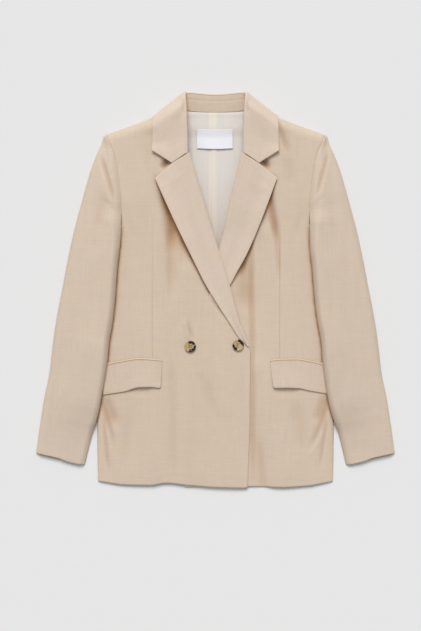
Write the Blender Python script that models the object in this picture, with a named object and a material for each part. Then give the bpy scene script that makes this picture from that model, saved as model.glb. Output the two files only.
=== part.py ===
"""Double-breasted blazer lying flat on its back, buttoned, with a notched collar.

The back lies on the ground, the fronts lie over it, the sleeves lie beside the body and
partly on it, and the collar folds round the neck. +Z is up, +Y points to the neck, and +X is
the wearer's left. Sizes in the tables are millimetres, and MM turns them into metres.
"Own" values are measured from the centre line towards the side that a piece belongs to.
"""

import math

import bpy
import bmesh
import numpy as np

MM = 0.001

# Cloth and clearances
SHELL = 1.4            # wall of the shell cloth with its facing
SLEEVE_CLOTH = 1.2     # wall of a sleeve
TURNED = 1.6           # wall of a lapel, the collar and a flap
LINING = 1.0           # wall of the lining and of the neck label
GAP = 0.3              # room between neighbours at a seam
RIM = SHELL + GAP + 0.5  # middle of the fronts' lowest rim, on the back's edge
REST = 0.5             # spare room under what lies on a front

# Depth of the laid body
SIDE_RISE = 8.5        # how far the fronts rise beside the side seam
SIDE_RADIUS = 10.0     # width of that rise
CROWN = 10.0           # further rise towards the centre line
CROWN_REACH = 75.0     # how slowly that rise comes
SHOULDER_RADIUS = 18.0 # width of the rise beside the shoulder seam
NECK_LIFT = 2.6        # room under the back's neck for the collar fall

# The neck end of the shoulder seam, and its slope towards the sleeve
NECK_POINT = (70.0, 332.7)
SHOULDER_SLOPE = 0.3525
BACK_NECK = 327.0      # lowest point of the back neckline
BACK_HEM = -350.0
BACK_SPLIT = 203.0     # the back's rows follow the shoulders above this height
ARMHOLE_TOP = 283.0
UNDERARM = (219.0, 92.0)
UNDERARM_FRONT = (173.0, 118.0)

# Button
BUTTON = {"radius": 10.5, "thickness": 3.6, "dish": 7.2, "dish_depth": 0.8,
          "hole": 1.0, "hole_out": 2.3, "round": 1.1}
BUTTON_PLACES = {"button_inner": (-46.4, -104.3), "button_edge": (41.6, -101.8)}

# y, half width of the body
BODY_SIDE = ((-366, 216.5), (-353, 217), (-200, 219), (92, 219), (118, 226), (150, 240), (165, 246.3),
             (192, 239), (223, 229.7), (253, 218), (270, 210.3), (285, 206.6))

# y, how full the body is there
FULLNESS = ((-366, 0.40), (-330, 0.47), (-260, 0.62), (-180, 0.82), (-100, 0.95), (0, 1.0),
            (100, 1.1), (200, 1.2), (340, 1.2))

# y, front armhole seam
ARMHOLE = ((118, 173), (155, 173), (186, 175.6), (222, 181), (251, 187), (267, 194.5), (283, 200.5))

# y of the rows that front and sleeve share along the armhole seam
CAP_ROWS = (138, 168, 198, 228, 258, 271)

# y, back armhole seam
BACK_ARMHOLE = ((92, 219), (110, 212), (150, 201), (203, 196.5), (250, 199), (284, 205.5))

# y, centre edge of the right front, centre edge of the left front
CENTRE_EDGE = ((-366, -58.6, -57), (-235, -63, -60), (-120, -63.6, -60), (-106, -62, -55),
               (-98, -55.3, -41.5), (-58, -39.6, -26.7), (7, -22.2, -8.8), (76, -1.4, 9.8),
               (165, 25.4, 30.8), (228, 44.9, 46.2), (256, 57, 57), (278, 60, 60), (302, 64, 64),
               (320, 67.5, 67.5), (333, 70, 70))

# y, roll line of the right lapel, roll line of the left lapel
ROLL_LINE = ((-106, -62.5, -50), (-98, -59.5, -46.5), (-58.5, -44, -31), (7.4, -26.5, -13),
             (75.7, -5.6, 5.6), (165, 21.2, 26.6), (252, 47.5, 47.5))

# y, outer edge of the right lapel, outer edge of the left lapel
LAPEL_EDGE = ((-99.5, -54.5, -42), (-89.5, -44.8, -34), (-61.2, -26.5, -14.5), (-33, -8, 2),
              (14, 20.4, 29.5), (31, 28.9, 38.4), (68, 47.1, 58.5), (120, 72.3, 81), (205, 111, 113))

# own x, how much lower the hem hangs than its straight line, right front, left front
HEM = ((-62, -9.5, -9), (-53, -12, -10), (-9, -11, -10), (51, -7, -9.5), (92, -3, -10),
       (120, -7, -11), (172, -6, -8), (200, -2, -3), (217, 0, 0))
HEM_LINE = -353.0

# own x, own x of the collar: sections from the middle of the back to the collar's point.
# turn is -90 where the fall lies under the stand, and 90 where it lies over it.
COLLAR = {
    "columns": ("roll_x", "roll_y", "edge_x", "edge_y", "neck_x", "neck_y", "turn", "roll_z",
                "radius", "edge_z", "neck_z"),
    "back": ((0, 361.5, 0, 308, 0, 329.0, -90, 4.8, 3.9, 0.9, 4.8),
             (28, 363, 50, 310.5, 32, 330.6, -90, 4.8, 3.8, 0.9, 4.8),
             (43, 364.3, 88, 313.5, 56, 333.0, -88, 5.4, 3.8, 0.9, 5.0)),
    "fold": ((50.5, 365, 108, 316, 63, 334.4, -62, 7.2, 3.2, 0.9, 5.5),
             (53.6, 365, 114.6, 319.0, 67.5, 335.4, -30, 11, 2.8, 2.2, 6.9),
             (54.7, 364.5, 115.3, 319.4, 68.6, 335.4, 0, 16, 2.5, 7.5, 9.0),
             (54.7, 362, 115.5, 317.6, 68.2, 332.6, 35, 20, 2.3, 14.5, 11.5)),
    "front": ((54.2, 354, 115.4, 309.5, 66.8, 327, 70, 24.0, 2.2, 22.4, 17.5),
              (53, 340, 115.3, 298, 64.8, 317, 90, 26.2, 2.2, 0, 0),
              (51.8, 318, 115.5, 285, 61.6, 301, 90, 27.4, 2.2, 0, 0),
              (50.8, 285, 115.9, 270, 57.8, 278, 90, 27.0, 2.2, 0, 0),
              (50.4, 262, 116.2, 259, 55.4, 262, 90, 26.2, 2.2, 0, 0),
              (50.3, 250.9, 116.4, 255.7, 54.4, 256, 90, 25.7, 2.2, 0, 0)),
}
NOTCH = (78.4, 232.9)           # inner corner of the notch
NOTCH_SHARE = 0.42              # where the notch comes along the collar's and the lapel's end
ROLL_REACH = 3.0                # how far a roll stands out beyond its two layers
ROLL_NOSE = 0.8                 # the wall's half, inside the roll's outer edge

# inner y, inner x, outer y, outer x, depth of the tube
SLEEVE = ((-321, 241, -301, 331.5, 8), (-261, 226.4, -241, 323, 10.5), (-220, 215, -199, 316.3, 12.5),
          (-171, 206, -151, 306.5, 14), (-131, 200.6, -111, 302, 15), (-100, 198.2, -80, 298, 15.5),
          (-57, 190.6, -37, 290.8, 16), (-19, 186, 0, 283.5, 16), (40, 181, 57, 272.6, 16),
          (92, 174.6, 106, 262, 15), (118, 173.3, 130, 255.8, 14), (155, 173.3, 165, 246.3, 12.5),
          (186, 175.9, 192, 239, 11), (222, 181.3, 223, 229.7, 9), (251, 187.4, 253, 218, 6),
          (267, 194.9, 270, 210.3, 3), (283, 200.9, 284.5, 206.6, 1.2))

# distance inside the body's side, how high the sleeve's lower half rides there
OVER_SIDE = ((-19, 0), (-11, 1.8), (-6, 5.2), (-2, 8.8), (1, 10.9), (4, 12.4), (10, 14.2),
             (18, 15.2), (46, 17.4), (80, 20.3))
# y, further room between body and sleeve, for the pocket flap's end
OVER_FLAP = ((-240, 0), (-205, 2.2), (-125, 2.2), (-80, 0.2), (-40, 0), (130, 0))

# start x, start y, end x, end y, half width, depth: the large soft troughs, own x
SLEEVE_TROUGHS = ((209, 250, 184, 168, 13, 2.2), (206, 216, 187, 172, 10, 1.2))
BODY_TROUGHS = ((97, 158, 84, -25, 17, 1.8), (210, -243, 188, -286, 12, 1.4))

# Pocket: flap corners and edges, own x
FLAP_TOP = ((99.5, -131.5), (125, -128.6), (148, -128.8), (175, -133.5), (205, -139.5))
FLAP_BOTTOM = ((100, -181.2), (133, -179.6), (152, -181.5), (178, -187), (207, -193.5))
JET_TOP = ((101, -127.2), (125, -124.3), (148, -124.3), (175, -129.0), (203, -134.8))

# y, half width of the lining that shows in the neck
LINING_SIDE = ((40, 52), (110, 62), (200, 74), (262, 80), (300, 78), (327, 62))
LABEL = {"centre": (-1.0, 278.5), "size": (66.0, 35.0)}

COLOURS = {
    "shell_linen": ((0.640, 0.518, 0.418, 1.0), 0.86),
    "sleeve_linen": ((0.632, 0.518, 0.423, 1.0), 0.86),
    "facing_linen": ((0.680, 0.552, 0.461, 1.0), 0.84),
    "stand_linen": ((0.604, 0.488, 0.392, 1.0), 0.88),
    "lining_cloth": ((0.700, 0.630, 0.560, 1.0), 0.55),
    "label_cloth": ((0.800, 0.800, 0.840, 1.0), 0.50),
    "button_horn": ((0.300, 0.190, 0.090, 1.0), 0.25),
}


# ---------------------------------------------------------------- sizes along tables

def smooth(table, key, column=1):
    """Read a table at a key, on a smooth curve that never overshoots its rows."""
    knots = np.array([row[0] for row in table], dtype=float)
    values = np.array([row[column] for row in table], dtype=float)
    key = np.clip(np.asarray(key, dtype=float), knots[0], knots[-1])
    steps = np.diff(knots)
    slopes = np.diff(values) / steps
    inner = np.where(slopes[:-1] * slopes[1:] > 0,
                     2 * slopes[:-1] * slopes[1:] / (slopes[:-1] + slopes[1:] + 1e-30), 0.0)
    tangents = np.concatenate(([slopes[0]], inner, [slopes[-1]]))
    spot = np.clip(np.searchsorted(knots, key, side="right") - 1, 0, len(knots) - 2)
    share = (key - knots[spot]) / steps[spot]
    square, cube = share ** 2, share ** 3
    return ((2 * cube - 3 * square + 1) * values[spot]
            + (cube - 2 * square + share) * steps[spot] * tangents[spot]
            + (3 * square - 2 * cube) * values[spot + 1]
            + (cube - square) * steps[spot] * tangents[spot + 1])


def step(value, start, end):
    """Ease from 0 at start to 1 at end."""
    share = np.clip((np.asarray(value, dtype=float) - start) / (end - start), 0.0, 1.0)
    return share * share * (3 - 2 * share)


def quarter(share):
    """Height of a quarter ellipse, from 0 at its edge to 1."""
    share = np.clip(share, 0.0, 1.0)
    return np.sqrt(1 - (1 - share) ** 2)


def trough(x, y, folds):
    """Depth of all soft troughs at a place."""
    depth = np.zeros_like(np.asarray(x, dtype=float) + np.asarray(y, dtype=float))
    for start_x, start_y, end_x, end_y, half_width, deep in folds:
        run_x, run_y = end_x - start_x, end_y - start_y
        length = math.hypot(run_x, run_y)
        along = ((x - start_x) * run_x + (y - start_y) * run_y) / length ** 2
        aside = ((x - start_x) * run_y - (y - start_y) * run_x) / length
        ends = step(along, -0.15, 0.25) * step(along, 1.15, 0.75)
        depth = depth + deep * ends * np.exp(-(aside / half_width) ** 2 * 2)
    return depth


# ---------------------------------------------------------------- heights of the layers

def back_lift(x, y):
    """How far the back stands off the ground over the collar fall."""
    return NECK_LIFT * step(np.abs(x), 142, 119) * step(y, 280, 301)


def back_level(x, y):
    """Middle of the back's wall."""
    return SHELL / 2 + back_lift(x, y)


def shoulder_room(x, y):
    """Distance below the shoulder seam."""
    line = NECK_POINT[1] - SHOULDER_SLOPE * (x - NECK_POINT[0])
    return (line - y) / math.hypot(1, SHOULDER_SLOPE)


def body_level(x, y):
    """Middle of the upper front's wall: low at the side and shoulder seams, full between."""
    inside = np.maximum(smooth(BODY_SIDE, y) - SHELL / 2 - x, 0)
    rise = SIDE_RISE * quarter(inside / SIDE_RADIUS) + CROWN * (1 - np.exp(-inside / CROWN_REACH))
    below = quarter((shoulder_room(x, y) - SHELL / 2) / SHOULDER_RADIUS)
    full = rise * smooth(FULLNESS, y) * below
    return RIM + back_lift(x, y) + full - trough(x, y, BODY_TROUGHS) * step(inside, 4, 20)


def lap_drop(across, y):
    """How much lower the left front lies where the right front covers it."""
    deep = 2.6 + 2.6 * step(y, -150, -108) * step(y, 150, 90)
    near = step(across, 128, 72)
    return deep * near * step(y, 262, 150)


def front_level(side, own, y):
    """Middle of either front's wall; side is -1 for the right front, 1 for the left."""
    level = body_level(np.abs(own), y)
    if side > 0:
        level = level - lap_drop(own, y)
    return level


def under_sleeve_level(own, y):
    """Middle of the sleeve's lower half: on the ground, then over the body's side."""
    inside = smooth(BODY_SIDE, np.minimum(y, 92)) - own
    rides = smooth(OVER_SIDE, inside) * smooth(FULLNESS, y)
    return SLEEVE_CLOTH / 2 + rides + smooth(OVER_FLAP, y) * step(inside, -4, 6)


# ---------------------------------------------------------------- building sheets

def material(name):
    """Make or reuse a plain material."""
    found = bpy.data.materials.get(name)
    if found:
        return found
    colour, roughness = COLOURS[name]
    made = bpy.data.materials.new(name)
    made.use_nodes = True
    shader = made.node_tree.nodes["Principled BSDF"]
    shader.inputs["Base Color"].default_value = colour
    shader.inputs["Roughness"].default_value = roughness
    shader.inputs["Metallic"].default_value = 0.0
    return made


def sheet(name, grids, wall, cloth):
    """Join grids of points into one sheet of cloth and give it a wall."""
    mesh = bpy.data.meshes.new(name)
    work = bmesh.new()
    for grid in grids:
        points = [[work.verts.new(tuple(point * MM)) for point in row] for row in grid]
        for low, high in zip(points[:-1], points[1:]):
            for left in range(len(low) - 1):
                work.faces.new((low[left], low[left + 1], high[left + 1], high[left]))
    bmesh.ops.remove_doubles(work, verts=work.verts, dist=0.02 * MM)
    bmesh.ops.recalc_face_normals(work, faces=work.faces)
    work.to_mesh(mesh)
    work.free()
    mesh.shade_smooth()
    piece = bpy.data.objects.new(name, mesh)
    bpy.context.scene.collection.objects.link(piece)
    mesh.materials.append(material(cloth))
    wall_maker = piece.modifiers.new("wall", "SOLIDIFY")
    wall_maker.thickness = wall * MM
    wall_maker.offset = 0.0
    wall_maker.use_even_offset = True
    wall_maker.use_rim = True
    return piece


def grid_of(x, y, z):
    """Stack coordinates into a grid of points."""
    return np.stack(np.broadcast_arrays(x, y, z), axis=-1)


def tent(share, peak):
    """Straight rise to 1 at the peak and straight fall after it."""
    return np.minimum(share / peak, (1 - share) / (1 - peak))


# ---------------------------------------------------------------- body

def side_and_armhole(y):
    """Own x of a front's outer boundary, which passes under the sleeve at the underarm."""
    low = smooth(BODY_SIDE, np.minimum(y, UNDERARM[1]))
    jog = np.interp(y, (UNDERARM[1], UNDERARM_FRONT[1]), (UNDERARM[0], UNDERARM_FRONT[0]))
    high = smooth(ARMHOLE, y)
    return np.where(y < UNDERARM[1], low, np.where(y < UNDERARM_FRONT[1], jog, high))


def front_rows():
    """Heights of a front's rows, at its side and at its centre edge."""
    sides = np.concatenate((np.linspace(HEM_LINE, -112, 8), (-103, -92, -74), np.linspace(-42, 60, 4),
                            (78, 92, 100, 109, 118), CAP_ROWS, (ARMHOLE_TOP,)))
    top = NECK_POINT[1]
    lift = (top - UNDERARM_FRONT[1]) / (ARMHOLE_TOP - UNDERARM_FRONT[1])
    centres = np.where(sides < UNDERARM_FRONT[1], sides,
                       UNDERARM_FRONT[1] + (sides - UNDERARM_FRONT[1]) * lift)
    return sides, centres


def front(name, side):
    """One front with its side panel, from side seam and armhole to its centre edge."""
    column = 1 if side < 0 else 2
    sides, centres = front_rows()
    share = np.array((0, 0.010, 0.035, 0.10, 0.22, 0.36, 0.46, 0.52, 0.58, 0.64, 0.74, 0.86, 1.0))
    side_x = side_and_armhole(sides) - SHELL / 2
    centre_x = smooth(CENTRE_EDGE, centres, column)
    own = side_x[:, None] + (centre_x - side_x)[:, None] * share[None, :]
    y = sides[:, None] + (centres - sides)[:, None] * share[None, :]
    hang = smooth(HEM, own, column) * step(y, HEM_LINE + 70, HEM_LINE)
    z = front_level(side, own, y)
    return sheet(name, [grid_of(own * side, y + hang, z)], SHELL, "shell_linen")


def back():
    """The back, flat on the ground, and lifted a little at the neck."""
    climb = np.array((0.35, 0.58, 0.65, 0.71, 0.77, 0.88, 1.0))
    low = np.concatenate((np.linspace(BACK_HEM, 92, 7), (110, 140, 170, BACK_SPLIT)))
    rows = np.concatenate((low, BACK_SPLIT + (BACK_ARMHOLE[-1][0] - BACK_SPLIT) * climb))
    climb = np.concatenate((np.zeros(len(low)), climb))[:, None]
    edge = np.where(rows <= 92, smooth(BODY_SIDE, np.minimum(rows, 92)), smooth(BACK_ARMHOLE, rows) - GAP)
    half = np.array((0.17, 0.34, 0.5, 0.6, 0.66, 0.73, 0.85, 1))
    across = np.concatenate((-half[::-1], (0,), half))
    x = edge[:, None] * across[None, :]
    away = np.abs(x)
    shoulder = NECK_POINT[1] - SHOULDER_SLOPE * (away - NECK_POINT[0])
    neck = BACK_NECK + (NECK_POINT[1] - BACK_NECK) * (away / NECK_POINT[0]) ** 2
    top = np.where(away < NECK_POINT[0], neck, shoulder)
    y = np.where(climb > 0, BACK_SPLIT + (top - BACK_SPLIT) * climb, rows[:, None])
    return sheet("back", [grid_of(x, y, back_level(x, y))], SHELL, "shell_linen")


def back_lining():
    """The lining that shows inside the neck, with the soft ridge of its centre pleat."""
    rows = np.array((45, 100, 160, 215, 250, 268, 285, 293, 301, 314, 327))
    edge = smooth(LINING_SIDE, rows)
    across = np.array((-1, -0.55, -0.16, -0.09, -0.03, 0.03, 0.12, 0.5, 1))
    x = edge[:, None] * across[None, :]
    neck = BACK_NECK - 0.6 + (NECK_POINT[1] - BACK_NECK) * (np.abs(x) / NECK_POINT[0]) ** 2
    y = rows[:, None] + (neck - rows[:, None]) * step(rows, 285, 327)[:, None]
    pleat = 0.9 * np.exp(-((x + 2.5) / 5.0) ** 2) * step(y, 262, 240)
    z = back_level(x, y) + SHELL / 2 + 1.5 * GAP + LINING / 2 + pleat
    return sheet("back_lining", [grid_of(x, y, z)], LINING, "lining_cloth")


def neck_label():
    """The bare white label below the neckline."""
    (x_mid, y_mid), (width, height) = LABEL["centre"], LABEL["size"]
    x = np.linspace(x_mid - width / 2, x_mid + width / 2, 7)[None, :]
    y = np.linspace(y_mid - height / 2, y_mid + height / 2, 4)[:, None]
    z = back_level(x, y) + SHELL / 2 + 3 * GAP + 1.5 * LINING
    return sheet("neck_label", [grid_of(x, y, z)], LINING, "label_cloth")


# ---------------------------------------------------------------- lapels and collar

def lapel(name, side):
    """A turned-back lapel: the roll at the front's edge, then two layers lying on the front."""
    column = 1 if side < 0 else 2
    drop = np.concatenate(((0, 0.04, 0.09), np.linspace(0.15, 1.0, 10)))
    roll_y = 250.3 + (-93 - 250.3) * drop
    edge_y = 205 + (-93.5 - 205) * drop
    roll_x = smooth(ROLL_LINE, roll_y, column)
    edge_x = smooth(LAPEL_EDGE, edge_y, column)
    width = np.hypot(edge_x - roll_x, edge_y - roll_y)
    share = np.array((0, 0.12, 0.26, NOTCH_SHARE, 0.7, 1.0))
    near = ROLL_REACH / width
    share = near[:, None] + (1 - near[:, None]) * share[None, :]
    own = roll_x[:, None] + (edge_x - roll_x)[:, None] * share
    y = roll_y[:, None] + (edge_y - roll_y)[:, None] * share
    bend = ((1 - drop / 0.12).clip(0, 1) ** 2)[:, None] * tent(share, NOTCH_SHARE).clip(0, 1)
    own = own + bend * (NOTCH[0] - (roll_x[0] + (edge_x[0] - roll_x[0]) * NOTCH_SHARE))
    y = y + bend * (NOTCH[1] - 0.6 - (roll_y[0] + (edge_y[0] - roll_y[0]) * NOTCH_SHARE))
    radius = 1.5 + 0.7 * step(roll_y, 60, 250)
    if side > 0:
        radius = 1.2 + 1.0 * step(roll_y, 95, 250)
    level = front_level(side, own, y)
    resting = SHELL / 2 + REST + TURNED / 2
    over = (2 * radius[:, None] - resting).clip(0, 9) * (1 - share).clip(0, 1) ** 2
    z = level + resting + over
    root = grid_of(own[:, :1] * side, y[:, :1], level[:, :1])
    nose_x = roll_x + (edge_x - roll_x) / width * ROLL_NOSE
    nose_y = roll_y + (edge_y - roll_y) / width * ROLL_NOSE
    nose = grid_of(nose_x[:, None] * side, nose_y[:, None], level[:, :1] + radius[:, None])
    grid = np.concatenate((root, nose, grid_of(own * side, y, z)), axis=1)
    return sheet(name, [grid], TURNED, "facing_linen")


def collar_sections():
    """Sections of fall and stand over half of the collar."""
    fall, stand = [], []
    share = np.array((0.0, 0.16, NOTCH_SHARE, 0.7, 1.0))
    rows = COLLAR["back"] + COLLAR["fold"] + COLLAR["front"]
    last = dict(zip(COLLAR["columns"], rows[-1]))
    corner = np.array(NOTCH) + (0, 0.3)
    last_line = (1 - NOTCH_SHARE) * np.array((last["roll_x"], last["roll_y"])) \
        + NOTCH_SHARE * np.array((last["edge_x"], last["edge_y"]))
    for number, row in enumerate(rows):
        at = dict(zip(COLLAR["columns"], row))
        roll = np.array((at["roll_x"], at["roll_y"]))
        edge = np.array((at["edge_x"], at["edge_y"]))
        neck = np.array((at["neck_x"], at["neck_y"]))
        way = (edge - roll) / np.linalg.norm(edge - roll)
        outward = np.array((0.632, 0.775))
        turn = math.radians(at["turn"])
        aside = np.append(-outward * math.cos(turn), -math.sin(turn))
        middle = np.append(roll + way * ROLL_REACH, at["roll_z"])
        inner = middle + aside * at["radius"]
        outer = middle - aside * at["radius"]
        nose = np.append(roll + way * ROLL_NOSE, at["roll_z"])
        flat = (1 - share)[:, None] * outer[None, :2] + share[:, None] * edge[None, :]
        bend = (number - (len(rows) - 4)) / 3.0
        bend = max(bend, 0.0) ** 1.5
        flat = flat + bend * tent(share, NOTCH_SHARE)[:, None] * (corner - last_line)[None, :]
        if at["edge_z"]:
            z = outer[2] + (at["edge_z"] - outer[2]) * share ** 0.6
        else:
            resting = SHELL / 2 + REST + TURNED / 2
            ground = body_level(flat[:, 0], flat[:, 1]) + resting
            z = ground + (outer[2] - ground[0]) * (1 - share) ** 2
        body = np.column_stack((flat, z))
        fall.append(np.vstack((inner[None, :], nose[None, :], body)))
        neck_z = at["neck_z"] or float(body_level(neck[0], neck[1]))
        neck_3d = np.append(neck, neck_z)
        run = (neck_3d - inner) / np.linalg.norm(neck_3d - inner)
        top = inner + run * (TURNED / 2 + 2 * GAP)
        stand.append(np.array([top + (neck_3d - top) * part for part in (0, 0.33, 0.67, 1.0)]))
    return np.array(fall), np.array(stand)


def both_halves(half):
    """Mirror half of a band and join the two at the centre line."""
    mirrored = half[1:] * np.array((-1, 1, 1))
    return np.concatenate((mirrored[::-1], half), axis=0)


def collar():
    """The fall and the stand, each in one band round the neck."""
    fall, stand = collar_sections()
    sheet("collar_fall", [both_halves(fall)], TURNED, "facing_linen")
    sheet("collar_stand", [both_halves(stand)], LINING, "stand_linen")


# ---------------------------------------------------------------- sleeves

def sleeve_rows(inner_y):
    """Both ends of a sleeve's rows in plan, and the tube's depth there."""
    return (smooth(SLEEVE, inner_y, 1), inner_y,
            smooth(SLEEVE, inner_y, 3), smooth(SLEEVE, inner_y, 2), smooth(SLEEVE, inner_y, 4))


def sleeve_top(name, side):
    """Upper half of a sleeve: from the armhole seam or the inner edge to the outer edge."""
    rows = np.concatenate((np.linspace(-321, 60, 12), (80, 95, 106, 118),
                           CAP_ROWS, (280,)))
    inner_x, inner_y, outer_x, outer_y, depth = sleeve_rows(rows)
    half = SLEEVE_CLOTH / 2
    share = np.array((0, 0.015, 0.06, 0.14, 0.27, 0.42, 0.58, 0.73, 0.86, 0.94, 0.985, 1))
    span = outer_x - inner_x - 2 * half
    narrow = step(span, 45, 12)[:, None]
    share = share[None, :] + (np.linspace(0, 1, len(share)) - share)[None, :] * narrow
    own = (inner_x + half)[:, None] + span[:, None] * share
    y = inner_y[:, None] + (outer_y - inner_y)[:, None] * share
    free = step(rows, 150, 119)
    on_body = under_sleeve_level(inner_x, rows) + half + GAP
    on_seam = body_level(inner_x, rows)
    inner_z = on_seam + (on_body - on_seam) * free
    outer_z = (SLEEVE_CLOTH + GAP + 0.3 + 0.8 * step(rows, 215, 262))[:, None]
    slope = step(share, 1, 0)
    base = outer_z + (inner_z[:, None] - outer_z) * slope
    inner_radius = 9 + 16 * (1 - free)[:, None]
    round_in = quarter(span[:, None] * share / inner_radius)
    round_out = quarter(span[:, None] * (1 - share) / 13.0)
    z = base + depth[:, None] * round_in * round_out - trough(own, y, SLEEVE_TROUGHS)
    return sheet(name, [grid_of(own * side, y, z)], SLEEVE_CLOTH, "sleeve_linen")


def sleeve_under(name, side):
    """Lower half of a sleeve: on the ground, and over the body's side below the underarm."""
    rows = np.concatenate((np.linspace(-321, 60, 12), (80, 95, 106, 118)))
    inner_x, inner_y, outer_x, outer_y, _ = sleeve_rows(rows)
    corner_share = (UNDERARM[0] + 1.0 - inner_x[-1]) / (outer_x[-1] - inner_x[-1])
    low_share = np.concatenate((np.array((0, 0.25, 0.5, 0.75)) * corner_share,
                                corner_share + (1 - corner_share) * np.array((0, 0.1, 0.2, 0.35, 0.6, 1))))
    own = inner_x[:, None] + (outer_x - inner_x)[:, None] * low_share[None, :]
    y = inner_y[:, None] + (outer_y - inner_y)[:, None] * low_share[None, :]
    sag = (inner_y[-1] + (outer_y - inner_y)[-1] * corner_share) - UNDERARM[1]
    y = y - sag * tent(low_share, corner_share)[None, :] * (step(rows, 20, 118) ** 2)[:, None]
    z = under_sleeve_level(own, y)
    low = grid_of(own * side, y, z)

    climb = np.array((0, 0.08, 0.16, 0.3, 0.5, 0.7, 0.87, 1.0))
    hole_y = UNDERARM[1] + (284 - UNDERARM[1]) * climb
    hole_x = smooth(BACK_ARMHOLE, hole_y) + 2 * GAP
    hole_x[0] = own[-1, 4]
    rim_y = outer_y[-1] + (284.5 - outer_y[-1]) * climb
    rim_x = smooth([(row[2], row[3]) for row in SLEEVE], rim_y)
    high_share = ((low_share[4:] - corner_share) / (1 - corner_share))[None, :]
    high_x = hole_x[:, None] + (rim_x - hole_x)[:, None] * high_share
    high_y = hole_y[:, None] + (rim_y - hole_y)[:, None] * high_share
    high_z = SLEEVE_CLOTH / 2 + (z[-1, 4:] - SLEEVE_CLOTH / 2)[None, :] * (step(climb, 0.16, 0))[:, None]
    high = grid_of(high_x * side, high_y, high_z)
    return sheet(name, [low, high], SLEEVE_CLOTH, "sleeve_linen")


# ---------------------------------------------------------------- pockets and buttons

def edge_curve(points, share):
    """Points along an outline, read by its share of the width."""
    table = [(x, y) for x, y in points]
    x = table[0][0] + (table[-1][0] - table[0][0]) * share
    return x, smooth(table, x)


def band_on_front(name, side, lower, upper, wall, rows, cloth):
    """A strip of cloth lying on a front between two outlines."""
    share = np.linspace(0, 1, 10)
    low_x, low_y = edge_curve(lower, share)
    high_x, high_y = edge_curve(upper, share)
    climb = np.linspace(0, 1, rows)[:, None]
    own = low_x[None, :] + (high_x - low_x)[None, :] * climb
    y = low_y[None, :] + (high_y - low_y)[None, :] * climb
    z = front_level(side, own, y) + SHELL / 2 + REST + wall / 2
    return sheet(name, [grid_of(own * side, y, z)], wall, cloth)


def pocket(side, word):
    """A flap and the narrow jet above it."""
    seam = [(x, y + 2 * GAP) for x, y in FLAP_TOP]
    band_on_front("pocket_flap_" + word, side, FLAP_BOTTOM, FLAP_TOP, TURNED, 5, "facing_linen")
    band_on_front("pocket_jet_" + word, side, seam, JET_TOP, LINING, 2, "shell_linen")


def button(name, place):
    """A turned disc with a rounded edge, a dished face and four holes."""
    radius, thick, curve = BUTTON["radius"], BUTTON["thickness"], BUTTON["round"]
    dish, deep = BUTTON["dish"], BUTTON["dish_depth"]
    profile = [(0.0, 0.0), (radius - curve, 0.0)]
    for number in range(1, 4):
        angle = math.pi / 2 * number / 3
        profile.append((radius - curve + curve * math.sin(angle), curve - curve * math.cos(angle)))
    for number in range(0, 4):
        angle = math.pi / 2 * number / 3
        profile.append((radius - curve + curve * math.cos(angle), thick - curve + curve * math.sin(angle)))
    profile += [(dish + 0.5, thick), (dish - 0.6, thick - deep), (0.0, thick - deep)]
    work = bmesh.new()
    ring = [work.verts.new((out * MM, 0, up * MM)) for out, up in profile]
    edges = [work.edges.new(pair) for pair in zip(ring[:-1], ring[1:])]
    bmesh.ops.spin(work, geom=ring + edges, cent=(0, 0, 0), axis=(0, 0, 1),
                   angle=2 * math.pi, steps=24, use_merge=True)
    bmesh.ops.remove_doubles(work, verts=work.verts, dist=0.01 * MM)
    bmesh.ops.recalc_face_normals(work, faces=work.faces)
    mesh = bpy.data.meshes.new(name)
    work.to_mesh(mesh)
    work.free()
    mesh.shade_smooth()
    mesh.set_sharp_from_angle(angle=math.radians(35))
    piece = bpy.data.objects.new(name, mesh)
    bpy.context.scene.collection.objects.link(piece)
    mesh.materials.append(material("button_horn"))
    x, y = place
    reach = BUTTON["radius"]
    around = [float(body_level(abs(-x + dx), y + dy)) for dx in (-reach, 0, reach) for dy in (-reach, 0, reach)]
    piece.location = (x * MM, y * MM, (max(around) + SHELL / 2 + GAP) * MM)
    drills = bmesh.new()
    for number in range(4):
        angle = math.pi / 4 + math.pi / 2 * number
        made = bmesh.ops.create_cone(drills, cap_ends=True, segments=10, radius1=BUTTON["hole"] * MM,
                                     radius2=BUTTON["hole"] * MM, depth=3 * thick * MM)
        shift = (BUTTON["hole_out"] * math.cos(angle) * MM, BUTTON["hole_out"] * math.sin(angle) * MM, 0)
        bmesh.ops.translate(drills, verts=made["verts"], vec=shift)
    cutter_mesh = bpy.data.meshes.new(name + "_holes")
    drills.to_mesh(cutter_mesh)
    drills.free()
    cutter = bpy.data.objects.new(name + "_holes", cutter_mesh)
    bpy.context.scene.collection.objects.link(cutter)
    cutter.location = piece.location
    cutter.hide_render = True
    cutter.display_type = "WIRE"
    cut = piece.modifiers.new("holes", "BOOLEAN")
    cut.operation = "DIFFERENCE"
    cut.solver = "EXACT"
    cut.object = cutter
    return piece


# ---------------------------------------------------------------- the blazer

def blazer():
    """Make every piece."""
    back()
    back_lining()
    neck_label()
    front("front_right", -1)
    front("front_left", 1)
    lapel("lapel_right", -1)
    lapel("lapel_left", 1)
    collar()
    for side, word in ((-1, "right"), (1, "left")):
        sleeve_top("sleeve_" + word + "_top", side)
        sleeve_under("sleeve_" + word + "_under", side)
        pocket(side, word)
    for name, place in BUTTON_PLACES.items():
        button(name, place)


for old in list(bpy.data.objects):
    bpy.data.objects.remove(old, do_unlink=True)
blazer()
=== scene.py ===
import math

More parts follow.
